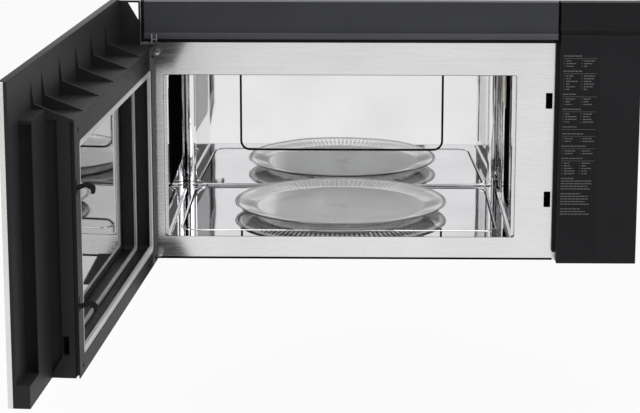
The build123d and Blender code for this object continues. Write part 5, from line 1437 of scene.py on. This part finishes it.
@dataclass
class PowerGear(SubAssembly):
    """Magnetron, waveguide, transformer, capacitor, power board and cooling fan."""

    finishes = {
        "waveguide": (GALVANISED, 0.2), "magnetron": (MAGNETRON_ALLOY, 0.3), "transformer": (CORE_STEEL, 0.5),
        "capacitor": (CAN_ALUMINIUM, 0.4), "power_board": (CIRCUIT_BOARD, 0.3),
        "cooling_fan_shroud": (CONTROL_PLASTIC, 0.5), "cooling_fan_motor": (MOTOR_STEEL, 0.4),
        "cooling_fan": (PALE_PLASTIC, 0.4)}

    core_x: Span = (236.0, 336.0)
    core_y: Span = (-190.0, -118.0)
    leg: float = 18.0
    coil_z: Span = (16.8, 68.8)
    coil_gap: float = 3.0
    overhang: float = 14.4
    copper: float = 0.3
    copper_rounding: float = 3.5

    def windings(self) -> None:
        """Copper coils that show in front of and behind the transformer's core."""
        work, x = Workpiece("transformer_windings"), within(self.core_x, self.leg - self.copper)
        foot, top = within(self.coil_z, -self.copper)
        under, over = around(sum(self.coil_z) / 2, self.coil_gap)
        for face, way in zip(self.core_y, (-1, 1)):
            for z in ((foot, under), (over, top)):
                work.block(x, off(face, (0.0, self.overhang), way), z, self.copper_rounding, steps=4)
        work.finish(COPPER, "cabinet", "core_steel")

    def build(self) -> None:
        """Add its finer pieces."""
        self.windings()


@dataclass
class AirPath(SubAssembly):
    """Exhaust blower, grease filters and cooktop lamps."""

    finishes = {
        "blower_housing": (GALVANISED, 0.2), "blower_motor": (MOTOR_STEEL, 0.6),
        "blower_wheels": (GALVANISED, 0.0), "grease_filter_left": (FILTER_MESH, 0.3),
        "grease_filter_right": (FILTER_MESH, 0.3), "lamp_cover": (PALE_PLASTIC, 0.3),
        "cooktop_lamps": (PALE_PLASTIC, 0.4)}

    filter_middles: tuple[float, float] = (-264.2, 111.8)
    filter_y: Span = (-302.0, -32.0)
    filter_width: float = 130.0
    filter_edge: float = 8.0
    mesh_count: tuple[int, int] = (18, 42)
    mesh_z: float = 1.2
    wire: float = 0.9
    lens_x: Span = (-222.2, 69.8)
    lens_y: Span = (-366.0, -324.0)
    lens_skin: Span = (2.2, 3.2)
    lens_ribs: int = 36
    rib_share: float = 0.6

    def meshes(self) -> None:
        """Expanded metal over the face of each grease filter."""
        front, back = within(self.filter_y, self.filter_edge)
        for side, middle in zip(("left", "right"), self.filter_middles):
            work = Workpiece(f"filter_wires_{side}")
            size = Matrix.Diagonal((self.filter_width - 2 * self.filter_edge, back - front, 1.0, 1.0))
            place = Matrix.Translation((middle, (front + back) / 2, self.mesh_z))
            bmesh.ops.create_grid(work.mesh, x_segments=self.mesh_count[0], y_segments=self.mesh_count[1],
                                  size=0.5, matrix=place @ size)
            bmesh.ops.wireframe(work.mesh, faces=work.mesh.faces, thickness=self.wire, use_replace=True,
                                use_boundary=True, use_even_offset=True)
            work.finish(GALVANISED, f"filter_{side}", "filter_mesh")

    def lens(self) -> None:
        """Prism ribs along the lamp cover."""
        work, (left, right) = Workpiece("lamp_lens_ribs"), self.lens_x
        pitch = (right - left) / self.lens_ribs
        for number in range(self.lens_ribs):
            x = left + pitch * number
            work.block((x, x + pitch * self.rib_share), self.lens_y, self.lens_skin, rounding=0.4, steps=1)
        work.finish(PALE_PLASTIC, "lamp_door", "pale_plastic")

    def build(self) -> None:
        """Add its finer pieces."""
        self.meshes()
        self.lens()


# ---------------------------------------------------------------- studio
def facing(place: Point, target: Point) -> Euler:
    """The turn of a camera or lamp that looks from a place at a target."""
    return (Vector(target) - Vector(place)).to_track_quat("-Z", "Y").to_euler()


def staged(name: str, mesh: bmesh.types.BMesh, material: bpy.types.Material) -> bpy.types.Object:
    """Put a piece of the stage in the scene.

    Args:
        name: its name.
        mesh: its shape, in metres.
        material: what it is made of.

    Returns:
        The new object.
    """
    data = bpy.data.meshes.new(name)
    mesh.to_mesh(data)
    mesh.free()
    data.materials.append(material)
    made = placed(name, data)
    return made


@dataclass(frozen=True)
class Lamp:
    """A square soft lamp."""

    name: str
    place: Point
    size: float
    power: float

    def hang(self) -> bpy.types.Object:
        """Put it in the scene, facing straight down.

        Returns:
            The new lamp.
        """
        data = bpy.data.lights.new(self.name, "AREA")
        data.size = self.size
        data.energy = self.power
        made = placed(self.name, data)
        made.location = self.place
        return made


@dataclass(frozen=True)
class DarkSheet:
    """An upright dark sheet that only polished surfaces see."""

    name: str
    tone: float
    depth: float
    outline: tuple[Span, ...]

    def hang(self) -> None:
        """Put it on the stage."""
        mesh = bmesh.new()
        mesh.faces.new([mesh.verts.new((x, self.depth, z)) for x, z in self.outline])
        material = bpy.data.materials.new(self.name)
        material.use_nodes = True
        shader = material.node_tree.nodes["Principled BSDF"]
        shader.inputs["Base Color"].default_value = (self.tone, self.tone, self.tone, 1.0)
        shader.inputs["Roughness"].default_value = 1.0
        made = staged(self.name, mesh, material)
        made.visible_camera = made.visible_diffuse = made.visible_transmission = made.visible_shadow = False


@dataclass
class Studio:
    """Camera, floor, lamps and the pale room, in metres."""

    camera_at: Point = (-0.048, -3.7199, 0.8422)
    aimed_at: Point = (-0.1062, -0.414, 0.0885)
    lens: float = 124.19
    reach: float = 100.0
    floor_size: float = 30.0
    floor_drop: float = 0.32
    floor_tone: float = 0.82
    floor_glow: Span = (0.45, 0.9)
    room_light: float = 0.55
    lit: Point = (-0.05, -0.5, 0.2)
    lamps: tuple[Lamp, ...] = (
        Lamp("lamp_1", (-2.2, -3.4, 2.6), 2.6, 70.0), Lamp("lamp_2", (2.4, -3.2, 1.8), 2.4, 45.0),
        Lamp("lamp_3", (0.2, -0.8, 3.2), 2.2, 30.0))
    cavity_lamp: Lamp = Lamp("cavity_light", (-0.076, -0.22, 0.296), 0.26, 1.3)
    # A dark sheet behind the camera, seen only in reflections: a painted dark reflection where the camera and
    # its stand would be.
    camera_stand: DarkSheet = DarkSheet("camera_stand", 0.13, -3.95,
                                        ((-0.4, 0.6), (0.3, 0.6), (0.3, 1.2), (-0.4, 1.2)))
    # Black sheets by the hinge, inside the shut door's space and seen only in reflections: painted dark
    # reflections.
    hinge_flags: tuple[DarkSheet, ...] = (
        DarkSheet("hinge_dark_reflection_1", 0.02, -0.452,
                  ((-0.373, -0.03), (-0.305, -0.03), (-0.332, 0.02), (-0.373, 0.022))),
        DarkSheet("hinge_dark_reflection_2", 0.02, -0.452,
                  ((-0.373, 0.285), (-0.334, 0.29), (-0.305, 0.345), (-0.373, 0.345))))

    def camera(self) -> None:
        """Set the camera where the photograph was taken from."""
        data = bpy.data.cameras.new("camera")
        data.lens = self.lens
        data.clip_end = self.reach
        made = placed("camera", data)
        made.location = self.camera_at
        made.rotation_euler = facing(self.camera_at, self.aimed_at)
        bpy.context.scene.camera = made

    def room(self) -> None:
        """Make the room white to the eye and in reflections, and softer as a light."""
        world = bpy.data.worlds.new("room")
        wiring = Wiring(world)
        rays = wiring.add("ShaderNodeLightPath").outputs
        shown = wiring.sum_of(rays["Is Camera Ray"], rays["Is Glossy Ray"], "MAXIMUM")
        shown = wiring.sum_of(shown, rays["Is Transmission Ray"], "MAXIMUM")
        light = wiring.add("ShaderNodeBackground", {
            "Color": (1.0, 1.0, 1.0, 1.0), "Strength": wiring.span(shown, self.room_light, 1.0, 0.0, 1.0)})
        wiring.add("ShaderNodeOutputWorld", {"Surface": light.outputs[0]})
        bpy.context.scene.world = world

    def floor(self) -> None:
        """Lay a plain pale floor that is nearly white to the camera and keeps the object's shadow."""
        mesh = bmesh.new()
        bmesh.ops.create_grid(mesh, x_segments=1, y_segments=1, size=self.floor_size / 2)
        bmesh.ops.translate(mesh, verts=mesh.verts, vec=(0.0, 0.0, -self.floor_drop))
        material = bpy.data.materials.new("floor")
        wiring = Wiring(material)
        tone = self.floor_tone
        pale = wiring.add("ShaderNodeBsdfDiffuse", {"Color": (tone, tone, tone, 1.0)})
        white = wiring.add("ShaderNodeEmission", {"Strength": 1.0})
        seen = wiring.add("ShaderNodeLightPath").outputs["Is Camera Ray"]
        mix = wiring.add("ShaderNodeMixShader", {
            0: wiring.span(seen, *self.floor_glow, 0.0, 1.0), 1: pale.outputs[0], 2: white.outputs[0]})
        wiring.add("ShaderNodeOutputMaterial", {"Surface": mix.outputs[0]})
        staged("floor", mesh, material)

    def lights(self) -> None:
        """Hang the soft lamps, and light the cavity as its own lamp does while the door is open."""
        for lamp in self.lamps:
            lamp.hang().rotation_euler = facing(lamp.place, self.lit)
        inner = self.cavity_lamp.hang()
        inner.visible_glossy = inner.visible_camera = inner.visible_transmission = False

    def dark_things(self) -> None:
        """Dark sheets seen only in reflections, which paint dark reflections: one behind the camera, and two
        by the hinge inside the shut door's space.
        """
        for sheet in (self.camera_stand, *self.hinge_flags):
            sheet.hang()

    def build(self) -> None:
        """Set up the whole studio."""
        self.camera()
        self.room()
        self.floor()
        self.lights()
        self.dark_things()
        bpy.context.scene.view_settings.view_transform = "Standard"


def main() -> None:
    """Set up the studio, then dress and build each sub-assembly."""
    logging.basicConfig(level=logging.INFO, format="%(message)s")
    Studio().build()
    for made in (Cabinet(), Front(), Cavity(), Turntable(), Door(), Interlock(), PowerGear(), AirPath()):
        made.dress()
        made.build()


if __name__ == "__main__":
    main()
